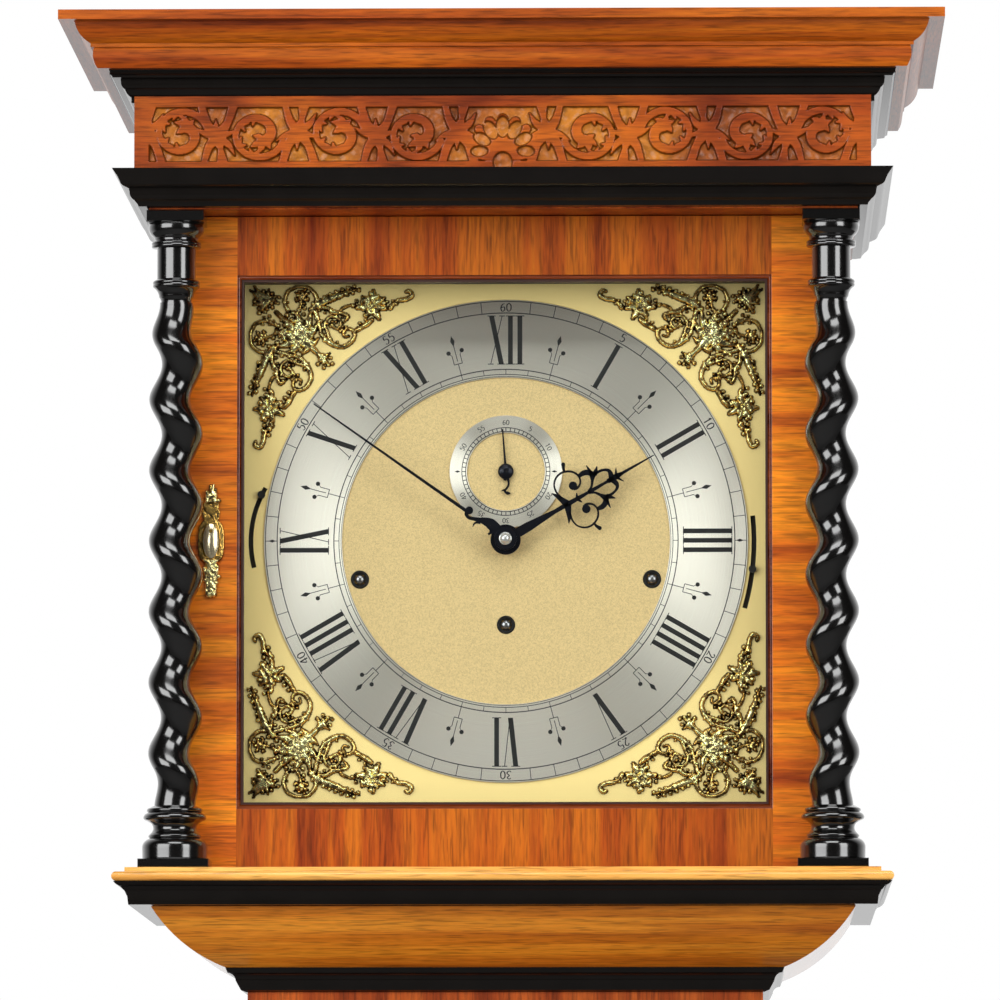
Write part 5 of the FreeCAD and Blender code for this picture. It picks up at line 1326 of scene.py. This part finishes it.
@dataclass
class FriezeCarving:
    """The frieze: three boards, the front one carved with a running vine and a fan of petals.

    One half is drawn and mirrored. The ground swells as sin(0.62 x + ...) cos(0.55 z + ...).
    """

    finishes: Finishes
    half_width: float = 192.6
    low: float = 1951.4
    high: float = 2003.0
    top_y: float = -110.8
    depth: float = 2.6
    slope: float = 0.75
    field_low: float = 1957.4
    field_high: float = 1986.4
    field_half: float = 185.0
    fullness: float = 1.22
    board: float = 10.0
    scroll_places: tuple = (45.5, 86.0, 128.0, 168.0)
    fork_places: tuple = (23.5, 66.0, 107.0, 149.5, 187.0)
    scroll_radius: float = 12.6
    leaf: tuple = ((6.4, 3.0), (2.0, 6.6), (-4.6, 4.2), (5.0, -3.4), (-5.4, -1.6))
    fork_tips: tuple = (
        (-8.5, 1.0, (3.2, 2.2, 2.4)), (8.0, 1.0, (3.2, 2.4, 2.2)), (-3.0, -1.02, (3.2, 1.7, 2.8)),
        (6.5, -1.0, (3.0, 2.2, 1.8)), (-9.5, -0.75, (2.4, 2.0, 0.7)), (11.5, 0.25, (2.4, 1.9, 0.7)),
        (0.5, 0.55, (3.0, 1.8, 0.7)), (-11.0, 0.2, (2.4, 1.7, 0.7)))

    def __post_init__(self) -> None:
        """Starts the carving over the whole front board."""
        self.relief = Relief(-self.half_width, self.half_width, self.low, self.high, 0.46)
        self.middle = (self.field_low + self.field_high) / 2

    def vine(self, points: Points, radii: tuple[float, ...]) -> None:
        """Raises one flat-topped stroke of the vine."""
        self.relief.stroke(points, tuple(radius * self.fullness for radius in radii), self.depth, self.slope)

    def scroll(self, place: float, way: int, side: int) -> None:
        """One scroll: its radius falls from scroll_radius to a third of it in 1.1 turns; it ends in a leaf.

        Args:
            place: its distance from the middle.
            way: 1 where it starts at the top, -1 at the bottom.
            side: 1 on the right of the clock, -1 on the left.
        """
        centre = side * place
        turn = np.linspace(0, 1.12 * TURN, 26)
        radius = self.scroll_radius * (1 - 0.66 * (turn / turn[-1]) ** 1.5)
        angle = math.pi * 0.9 - turn
        points = np.column_stack([centre + side * radius * np.cos(angle) * 1.1,
                                  self.middle + way * radius * np.sin(angle)])
        self.vine(points, (2.0, 2.1, 1.9, 1.8, 2.4, 3.0))
        x, z = points[-1]
        for across, up in self.leaf:
            tip = (x + side * across * 0.9, z + way * up * 0.9)
            self.vine([(x, z), ((x + tip[0]) / 2 + 0.8, (z + tip[1]) / 2 + 0.6), tip], (1.8, 2.0, 0.8))
        for foot in points[[5, 8, 12, 15]]:
            out = foot - (centre, self.middle)
            out /= np.linalg.norm(out)
            for lean in (0.9, -0.5):
                across = np.array([out[1], -out[0]]) * lean * side * way
                self.vine([foot, foot - out * 3.6 + across * 3.4], (1.9, 0.9))

    def fork(self, place: float, way: int, side: int) -> None:
        """The spiked leaf between two scrolls, with points that run to the field's edges.

        Args:
            place: its distance from the middle.
            way: 1 or -1, for the edge that its broad points reach.
            side: 1 on the right of the clock, -1 on the left.
        """
        reach = way * (self.field_high - self.field_low) / 2
        heart = (side * place, self.middle - way * 1.5)
        self.relief.stamp(*heart, 4.2, self.depth, self.slope)
        for across, up, radii in self.fork_tips:
            tip = (side * (place + across), self.middle + up * reach)
            bend = (side * (place + across * 0.62), self.middle + up * reach * 0.42 - way * 0.6)
            self.vine([heart, bend, tip], radii)

    def fan(self) -> None:
        """The fan in the middle: a raised field with seven pockets round its foot."""
        foot = self.field_low + 6.0
        for at in range(-4, 5):
            a = math.radians(at * 24)
            self.vine([(0, foot), (16.5 * math.sin(a), foot + 16.5 * math.cos(a))], (5.0, 4.4, 2.4))
        for at in range(-3, 4):
            a = math.radians(at * 31.0)
            self.relief.sink(12.2 * math.sin(a), foot + 12.2 * math.cos(a), 4.9 - 0.35 * abs(at),
                             3.1 - 0.25 * abs(at), at * 31.0, self.slope)
        self.relief.sink(0.0, self.field_low - 0.5, 5.0, 4.6, 0.0, self.slope)

    def draw(self) -> None:
        """Raises the border, the vine on both sides and the fan."""
        x, z = np.meshgrid(self.relief.x, self.relief.z)
        outside = np.maximum.reduce([np.abs(x) - self.field_half, self.field_low - z, z - self.field_high])
        self.relief.height[:] = self.depth * np.clip(outside / self.slope + 1, 0, 1)
        for side in (-1, 1):
            for shape, places in ((self.scroll, self.scroll_places), (self.fork, self.fork_places)):
                for at, place in enumerate(places):
                    shape(place, 1 if at % 2 else -1, side)
        self.fan()

    def build(self) -> None:
        """Makes the front board and the two side boards."""
        self.draw()
        x, z = np.meshgrid(self.relief.x, self.relief.z)
        tone = np.clip(self.relief.height / self.depth, 0, 1)
        swell = np.sin(0.62 * x + 1.7 * np.sin(0.31 * z)) * np.cos(0.55 * z + 1.3 * np.sin(0.23 * x))
        y = self.top_y + self.depth - self.relief.height - (1 - tone) * 0.5 * (1 + swell)
        front = Form()
        front.grid(np.stack([x, y, z], axis=-1), tone=tone)
        rear = CORNER_LINE - self.half_width + self.board
        edge = np.column_stack([np.concatenate([flat[0], flat[1:, -1], flat[-1, -2::-1], flat[-2:0:-1, 0]])
                                for flat in (x, z)])
        rings = [stood(edge, depth) for depth in (rear, self.top_y)]
        front.grid(np.stack(rings), closed_v=True)
        front.polygon(rings[0][::-1])
        front.piece("frieze_front", self.finishes.carved, "hood", "walnut", ("carved_frieze",), 50.0)
        sides = Form()
        for side in (-1, 1):
            low, high = sorted((side * (self.half_width - self.board), side * self.half_width))
            sides.box((low, rear, self.low), (high, CASE_REAR, self.high))
        sides.piece("frieze_sides", self.finishes.across, "hood", "walnut")


DIGITS = {
    "0": (((0.5, 1.6), (0.12, 1.2), (0.12, 0.4), (0.5, 0), (0.88, 0.4), (0.88, 1.2), (0.5, 1.6)),),
    "1": (((0.2, 1.25), (0.5, 1.6), (0.5, 1.5), (0.5, 0)),),
    "2": (((0.12, 1.25), (0.45, 1.6), (0.85, 1.25), (0.6, 0.7), (0.1, 0.05), (0.5, 0.12), (0.95, 0.0)),),
    "3": (((0.15, 1.4), (0.5, 1.6), (0.82, 1.25), (0.45, 0.88), (0.9, 0.45), (0.5, 0), (0.1, 0.2)),),
    "4": (((0.68, 0), (0.68, 1.6)), ((0.68, 1.6), (0.05, 0.5), (0.98, 0.5))),
    "5": (((0.85, 1.6), (0.25, 1.58), (0.2, 0.95), (0.6, 1.0), (0.9, 0.55), (0.55, 0), (0.1, 0.15)),),
    "6": (((0.8, 1.5), (0.4, 1.3), (0.12, 0.6), (0.4, 0), (0.85, 0.3), (0.75, 0.85), (0.2, 0.7)),)}
NUMERALS = ("XII", "I", "II", "III", "IIII", "V", "VI", "VII", "VIII", "IX", "X", "XI")
LETTER_WIDTH = {"I": 5.0, "V": 9.8, "X": 9.8}
THICK = 2.5
HAIR = 0.42


class Engraving(Form):
    """Wax-filled marks on one ring, drawn across clockwise and up outwards from a foot."""

    def __init__(self, centre_z: float, ink: float = 0.05) -> None:
        """Starts empty about a ring's centre, as thick as the ink."""
        super().__init__()
        self.centre_z = centre_z
        self.y = RING_Y - ink
        self.angle = 0.0
        self.radius = 0.0

    def foot(self, angle: float, radius: float) -> None:
        """Moves the foot of what is drawn next, clockwise from the top in degrees."""
        self.angle, self.radius = angle, radius

    def put(self, points: np.ndarray) -> np.ndarray:
        """The x, y and z rows of across and up rows."""
        return stood(turned(points + (0.0, self.radius), self.angle, self.centre_z), self.y)

    def bar(self, start: tuple[float, float], end: tuple[float, float], width: float) -> None:
        """Draws a stroke with level ends.

        Args:
            start: across and up of the lower end.
            end: across and up of the upper end.
            width: its width measured across.
        """
        h = width / 2
        corners = [(start[0] - h, start[1]), (start[0] + h, start[1]), (end[0] + h, end[1]),
                   (end[0] - h, end[1])]
        self.polygon(self.put(np.array(corners, float)))

    def serif(self, middle: float, half: float, up: float) -> None:
        """Draws a hairline across a stroke's end."""
        self.bar((middle, up - HAIR / 2), (middle, up + HAIR / 2), 2 * half)

    def dot(self, across: float, up: float, size: float, sides: int = 16) -> None:
        """Draws a filled dot, or a long diamond when it has four sides."""
        self.polygon(self.put(circle(across, up, size, sides, 2.6 if sides == 4 else 1.0)))

    def ring(self, radius: float, width: float, sides: int = 180) -> None:
        """Draws a thin circle.

        Args:
            radius: its radius.
            width: its width.
            sides: how many sides it has.
        """
        angle = np.arange(sides) * TURN / sides
        rows = [stood(np.column_stack([r * np.sin(angle), self.centre_z + r * np.cos(angle)]), self.y)
                for r in (radius - width / 2, radius + width / 2)]
        self.grid(np.stack(rows), closed_v=True, flip=True)

    def numeral(self, text: str, tall: float) -> None:
        """Draws one Roman numeral.

        Args:
            text: its letters.
            tall: its height.
        """
        at = -sum(LETTER_WIDTH[letter] for letter in text) / 2
        low, high = HAIR / 2, tall - HAIR / 2
        down, up = 0.2, tall - 0.2
        for letter in text:
            middle = at + LETTER_WIDTH[letter] / 2
            at += LETTER_WIDTH[letter]
            if letter == "I":
                strokes = ((0.0, 0.0, THICK),)
                serifs = ((0.0, 2.35, down), (0.0, 2.35, up))
            elif letter == "V":
                strokes = ((0.1, -2.7, THICK * 1.05), (0.4, 3.2, HAIR))
                serifs = ((-2.7, 2.3, up), (3.2, 1.5, up))
            else:
                strokes = ((2.6, -2.6, THICK * 1.05), (-3.0, 3.0, HAIR))
                serifs = ((2.6, 2.1, down), (-3.0, 1.5, down), (-2.6, 2.1, up), (3.0, 1.5, up))
            for start, end, width in strokes:
                self.bar((middle + start, low), (middle + end, high), width)
            for across, half, height in serifs:
                self.serif(middle + across, half, height)

    def number(self, text: str, size: float, width: float) -> None:
        """Draws a small number with a nib's line.

        Args:
            text: its digits.
            size: the width of one digit; it stands 1.6 times as high.
            width: the line's width.
        """
        at = -len(text) * 0.6
        for digit in text:
            for points in DIGITS[digit]:
                path = smooth([(at + 0.1 + u, v) for u, v in points]) * size
                side = right_of(np.gradient(path, axis=0))
                nib = side * width * (0.55 + 0.75 * np.abs(side[:, :1])) / 2
                self.grid(np.stack([self.put(path - nib), self.put(path + nib)]), flip=True)
            at += 1.2

    def minutes(self, radius: float, size: float, width: float, up: float, lozenge: float) -> None:
        """Draws the numbers from 5 to 60, with diamonds in place of 15 and 45.

        Args:
            radius: the numbers' foot.
            size: the width of one digit.
            width: the line's width.
            up: how far the diamonds stand outside the foot.
            lozenge: the diamond's radius.
        """
        for at in range(12):
            self.foot(at * 30.0, radius)
            if at in (3, 9):
                self.dot(0.0, up, lozenge, 4)
            else:
                self.number(str(at * 5 or 60), size, width)

    def ticks(self, count: int, radius: float, tall: float, width: float) -> None:
        """Draws evenly spaced upright lines.

        Args:
            count: how many there are.
            radius: their foot.
            tall: their height.
            width: their width.
        """
        for at in range(count):
            self.foot(at * 360.0 / count, radius)
            self.bar((0, 0), (0, tall), width)

    def half_hour(self, line: float = 0.38) -> None:
        """Draws one half-hour mark: a stem, a square fork with two dots, and a diamond.

        Args:
            line: the lines' width.
        """
        self.bar((0, 0.0), (0, 6.2), line)
        self.bar((0, 6.0), (0, 6.4), 4.6)
        for side in (-1, 1):
            self.bar((side * 2.2, 6.2), (side * 2.2, 11.2), line)
            self.bar((side * 2.2, 11.0), (side * 3.5, 12.6), line)
            self.dot(side * 3.6, 12.9, 1.15)
        self.bar((0, 7.6), (0, 17.5), line)
        self.dot(0.0, 18.6, 1.15, 4)


@dataclass
class Dial:
    """The silvered rings, their engraving and the winding arbors' ends."""

    finishes: Finishes
    numeral_low: float = 93.6
    numeral_high: float = 119.6

    def engraving(self) -> None:
        """Draws both rings' tracks, numerals and marks."""
        chapter = Engraving(DIAL_Z)
        for radius, width in ((127.2, 0.4), (121.0, 0.5), (91.0, 0.5), (88.3, 0.35), (87.2, 0.25)):
            chapter.ring(radius, width)
        for at, text in enumerate(NUMERALS):
            chapter.foot(at * 30.0, self.numeral_low)
            chapter.numeral(text, self.numeral_high - self.numeral_low)
            chapter.foot(at * 30.0 + 15.0, 91.0)
            chapter.half_hour()
        chapter.minutes(121.9, 2.7, 0.5, 1.7, 0.8)
        for at in range(60):
            if at % 5 or at in (15, 45):
                chapter.foot(at * 6.0, 121.0)
                chapter.bar((0, 0), (0, 6.2), 0.36)
        chapter.ticks(48, 88.3, 2.7, 0.3)
        seconds = Engraving(SECONDS_Z)
        seconds.ring(23.3, 0.38, 96)
        seconds.ring(21.3, 0.38, 96)
        seconds.ticks(60, 21.3, 2.0, 0.4)
        seconds.minutes(24.8, 1.6, 0.3, 0.8, 0.6)
        for name, marks in (("chapter", chapter), ("seconds", seconds)):
            marks.piece(name + "_engraving", self.finishes.wax, "case", "mask_black")

    def rings(self) -> None:
        """The two silvered rings, each with softened edges."""
        front, rear, soft = -RING_Y, -PLATE_Y, 0.12
        for name, outer, inner, z, finish, replaced in (
                ("chapter_ring", 128.0, 86.7, DIAL_Z, self.finishes.silver, ("chapter_rings",)),
                ("seconds_ring", 29.8, 20.6, SECONDS_Z, self.finishes.seconds_silver, ())):
            form = Form()
            profile = [(inner, rear), (outer, rear), (outer, front - soft), (outer - soft, front),
                       (inner + soft, front), (inner, front - soft), (inner, rear)]
            form.revolve(profile, 0.0, 0.0, z, 192, forward=True)
            form.piece(name, finish, "case", "silvered", replaced)

    def arbor_ends(self) -> None:
        """Black sleeves in the winding holes, painted shade for the dark holes, and the bright domed ends of
        the arbors.
        """
        # painted shade: black sleeves stand in for the darkness inside the winding holes.
        shadow_sleeve = [(2.9, 24.0), (4.75, 24.0), (4.75, 31.9), (4.2, 32.3), (3.6, 31.6), (2.9, 31.0), (2.9, 24.0)]
        dome = [(0, 29.0), (2.5, 29.0), (2.5, 31.6), (1.9, 32.6, 0.3), (0, 33.1, 0.2)]
        for name, x, z in TRAINS:
            form = Form()
            form.revolve(shadow_sleeve, x, 0.0, z, 40, forward=True)
            form.piece(name + "_sleeve", self.finishes.mask, "case", "mask_black")
            form = Form()
            form.revolve(rounded(dome), x, 0.0, z, 32, forward=True)
            form.piece(name + "_arbor_end", self.finishes.steel, name + "_barrel", "steel")

    def build(self) -> None:
        """Makes everything on the dial."""
        self.rings()
        self.engraving()
        self.arbor_ends()


@dataclass
class HoodMouldings:
    """The cornice and the ebonised mouldings, swept round the front and both sides.

    A profile point at half width w stands at y = corner line - w on the front, so the corners are mitred.
    """

    finishes: Finishes
    inner: float = 183.0
    cove_inner: float = 137.2
    cove_filler: float = -39.0
    cornice: tuple = (
        (230.4, 2033.1), (230.4, 2028.1), (222.6, 2028.1), (222.2, 2027.6), (214.4, 2017.4, -0.25),
        (214.4, 2015.6), (212.9, 2015.2), (211.0, 2004.8, -0.22))
    upper_black: tuple = (
        (205.4, 2004.8), (205.2, 2002.4, 0.3), (203.6, 2000.9, 0.3), (199.6, 2000.4), (199.4, 1999.2),
        (197.4, 1995.4, -0.3), (194.2, 1991.4, -0.2), (194.2, 1988.6))
    architrave: tuple = (
        (203.8, 1953.4), (200.9, 1949.2), (199.9, 1947.0), (197.9, 1944.6, -0.25), (195.4, 1943.6),
        (195.0, 1941.8), (192.6, 1937.6, -0.3), (190.9, 1935.6), (190.6, 1934.6), (187.6, 1934.2))
    cove: tuple = (
        (202.0, 1581.3), (198.3, 1578.7, -0.2), (196.4, 1576.5, -0.1), (195.0, 1573.5), (194.5, 1569.3))

    def sweep(self, profile: np.ndarray, inner: float, filler: float = 0.0) -> Form:
        """Carries a profile round three sides and closes it behind.

        Args:
            profile: half width and height rows from the top down.
            inner: the half width of its inner face.
            filler: how far back a rail fills the front, when one does.

        Returns:
            Its surfaces.
        """
        loop = np.vstack([profile, [(inner, profile[-1, 1]), (inner, profile[0, 1])]])
        half, height = loop.T
        front, back = CORNER_LINE - half, np.full(len(loop), CASE_REAR)
        columns = [np.column_stack(parts) for parts in (
            (-half, back, height), (-half, front, height), (half, front, height), (half, back, height))]
        form = Form()
        form.grid(np.stack(columns, axis=1), closed_u=True, flip=True)
        form.polygon(columns[0])
        form.polygon(columns[-1][::-1])
        if filler:
            form.box((-inner, CORNER_LINE - inner, profile[-1, 1]), (inner, filler, profile[0, 1]))
        return form

    def build(self) -> None:
        """Makes the four mouldings."""
        black = self.finishes.black
        cornice = self.sweep(rounded(self.cornice, 10), self.inner)
        cornice.piece("cornice", self.finishes.across, "hood", "walnut", ("cornice_moulding",), 25.0)
        upper = self.sweep(rounded(self.upper_black), self.inner)
        upper.piece("upper_black_moulding", black, "hood", "ebonised", ("hood_black_mouldings",), 25.0)
        architrave = self.sweep(rounded(self.architrave), self.inner)
        architrave.piece("architrave", black, "hood", "ebonised", (), 25.0)
        cove = self.sweep(rounded(self.cove), self.cove_inner, self.cove_filler)
        cove.piece("base_cove", black, "hood", "ebonised", (), 25.0)


@dataclass
class DoorBead:
    """The bead round the glass: a dark strip at the sight edge, painted as the shadow there, and a half round
    outside it.
    """

    finishes: Finishes
    half: float = 137.0
    bead: tuple = ((1.3, -9.0), (1.3, 0.2), (4.6, 0.0, 0.75), (4.6, -0.2), (3.5, -0.2), (3.5, -9.0))
    # the strip that carries the painted shadow at the sight edge
    rebate: tuple = ((0.0, -9.0), (0.0, -0.6), (1.3, -0.6), (1.3, -9.0))

    def frame(self, profile: Points) -> Form:
        """Carries a profile round the square opening.

        Args:
            profile: distance out from the sight edge, and height in front of the door's face.

        Returns:
            Its surfaces.
        """
        away, rise = rounded(profile).T
        out = self.half + away
        corners = [np.column_stack([across * out, DOOR_FACE - rise, DOOR_Z + up * out])
                   for across, up in ((-1, -1), (1, -1), (1, 1), (-1, 1))]
        form = Form()
        form.grid(np.stack(corners, axis=1), closed_u=True, closed_v=True)
        return form

    def build(self) -> None:
        """Makes the bead and the dark strip painted as the sight edge's shadow."""
        self.frame(self.bead).piece("glass_bead", self.finishes.bead, "hood_door", "walnut", ("door_bead",),
                                    30.0)
        # painted shadow: a dark strip round the sight edge
        self.frame(self.rebate).piece("sight_rebate", self.finishes.rebate, "hood_door", "walnut", (), 30.0)


@dataclass
class KeyPlate:
    """The cast foliage on the hood door's keyhole plate; it stays low where the cover sweeps."""

    finishes: Finishes
    x: float = -154.0
    base_y: float = -70.9
    half_height: float = 30.2
    half_width: float = 7.2
    pin_rise: float = 5.4
    sweep_radius: float = 15.2
    low_height: float = 0.45
    leaf_heights: tuple = (-27, -23.5, -19.5, -15.5, 13.5, 17.5, 21.5, 25)

    def draw(self) -> Relief:
        """Raises the foliage about the plate's own middle, with x across and z up."""
        relief = Relief(-self.half_width, self.half_width, -self.half_height, self.half_height, 0.3)
        relief.stroke([(-0.4, -29), (0.6, -20), (0, 0), (0.4, 20), (0, 29)], (0.9, 3.0, 3.6, 3.0, 0.9), 1.0)
        for side in (-1, 1):
            for at, height in enumerate(self.leaf_heights):
                reach = side * (4.8 - 0.09 * abs(height) + 0.4 * math.sin(5.0 * at))
                foot = height - math.copysign(1.6, height)
                relief.stroke([(0, foot), (reach * 0.6, height - 0.8), (reach, height + 1.2)],
                              (1.5, 1.7, 0.6), 1.7)
                relief.stamp(reach * 0.95, height + 1.6 + 0.5 * side, 1.0, 1.5)
            loop = mirrored([(0, 12), (4.6, 8), (5.6, 0), (4.6, -8), (0, -12.4)], side)
            relief.stroke(loop, (1.2, 1.2, 1.1, 1.2, 1.2), 1.4)
            relief.cluster(0, side * 20, 9, 1.5, 1.2, 1.9)
        relief.stroke([(0.5, 25), (1.4, 30)], (1.2, 0.5), 1.6)
        near = np.hypot(relief.x[None, :], relief.z[:, None] - self.pin_rise) < self.sweep_radius
        relief.height = np.where(near, np.minimum(relief.height, self.low_height), relief.height)
        return relief

    def build(self) -> None:
        """Makes the casting."""
        relief = self.draw()
        across, up = np.meshgrid(relief.x, relief.z)
        points = np.stack([self.x + across, self.base_y - relief.height, DOOR_Z + up], axis=-1)
        form = Form()
        form.grid(points, keep=relief.raised(), tone=np.clip(0.35 + relief.height / 1.6, 0, 1))
        form.piece("key_plate_foliage", self.finishes.cast_gilt, "hood_door", "gilt_brass", (), 60.0)


@dataclass
class HubNut:
    """The bright domed nut that holds the hands."""

    finishes: Finishes
    profile: tuple = (
        (0, 46.2), (3.1, 46.2), (3.4, 46.7, 0.3), (3.4, 47.3), (2.8, 47.7, 0.3), (0, 49.6, 0.35))

    def build(self) -> None:
        """Makes the nut: a collar and a dome on it."""
        form = Form()
        form.revolve(rounded(self.profile), 0.0, 0.0, DIAL_Z, 40, forward=True)
        form.piece("domed_nut", self.finishes.bright, "minute_arbor", "steel", ("hand_nut",))


@dataclass
class WeightCables:
    """The three gut lines; in the clock, those below the seatboard shorten as their weight is wound up."""

    finishes: Finishes
    y: float = 28.0
    pulley_z: float = 593.5
    seat_low: float = 1642.0
    offset: float = 20.5
    radius: float = 0.7
    travel: float = 980.0

    def run(self, name: str, spots: tuple[float, ...], low: float, high: float,
            replaces: tuple[str, ...] = ()) -> bpy.types.Object:
        """Makes upright lines.

        Args:
            name: the piece's name.
            spots: each line's x.
            low: the lower end.
            high: the upper end.
            replaces: the CAD nodes that it stands for.

        Returns:
            The piece.
        """
        form = Form()
        for x in spots:
            form.revolve([(0, low), (self.radius, low), (self.radius, high), (0, high)], x, self.y, 0.0, 12)
        return form.piece(name, self.finishes.gut, "case", "steel", replaces)

    def build(self) -> None:
        """Makes each weight's lines: two below the seatboard, in a mesh of their own, and one from the
        seatboard to the barrel.
        """
        for name, x, barrel_z in TRAINS:
            moving = self.run(name + "_line", (x - self.offset, x + self.offset), self.pulley_z,
                              self.seat_low, (name + "_cable",))
            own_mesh(moving)
            self.run(name + "_upper_line", (x + self.offset,), self.seat_low, barrel_z)


def main() -> None:
    """Builds the studio and then the clock, piece by piece."""
    Studio().build()
    finishes = Finishes()
    PlainNodes(finishes).build()
    TwistColumn(finishes, -1).build()
    TwistColumn(finishes, 1).build()
    for assembly in (HandSet, Dial, Spandrels, FriezeCarving, HoodMouldings, DoorBead, KeyPlate, HubNut,
                     WeightCables):
        assembly(finishes).build()


if __name__ == "__main__":
    main()
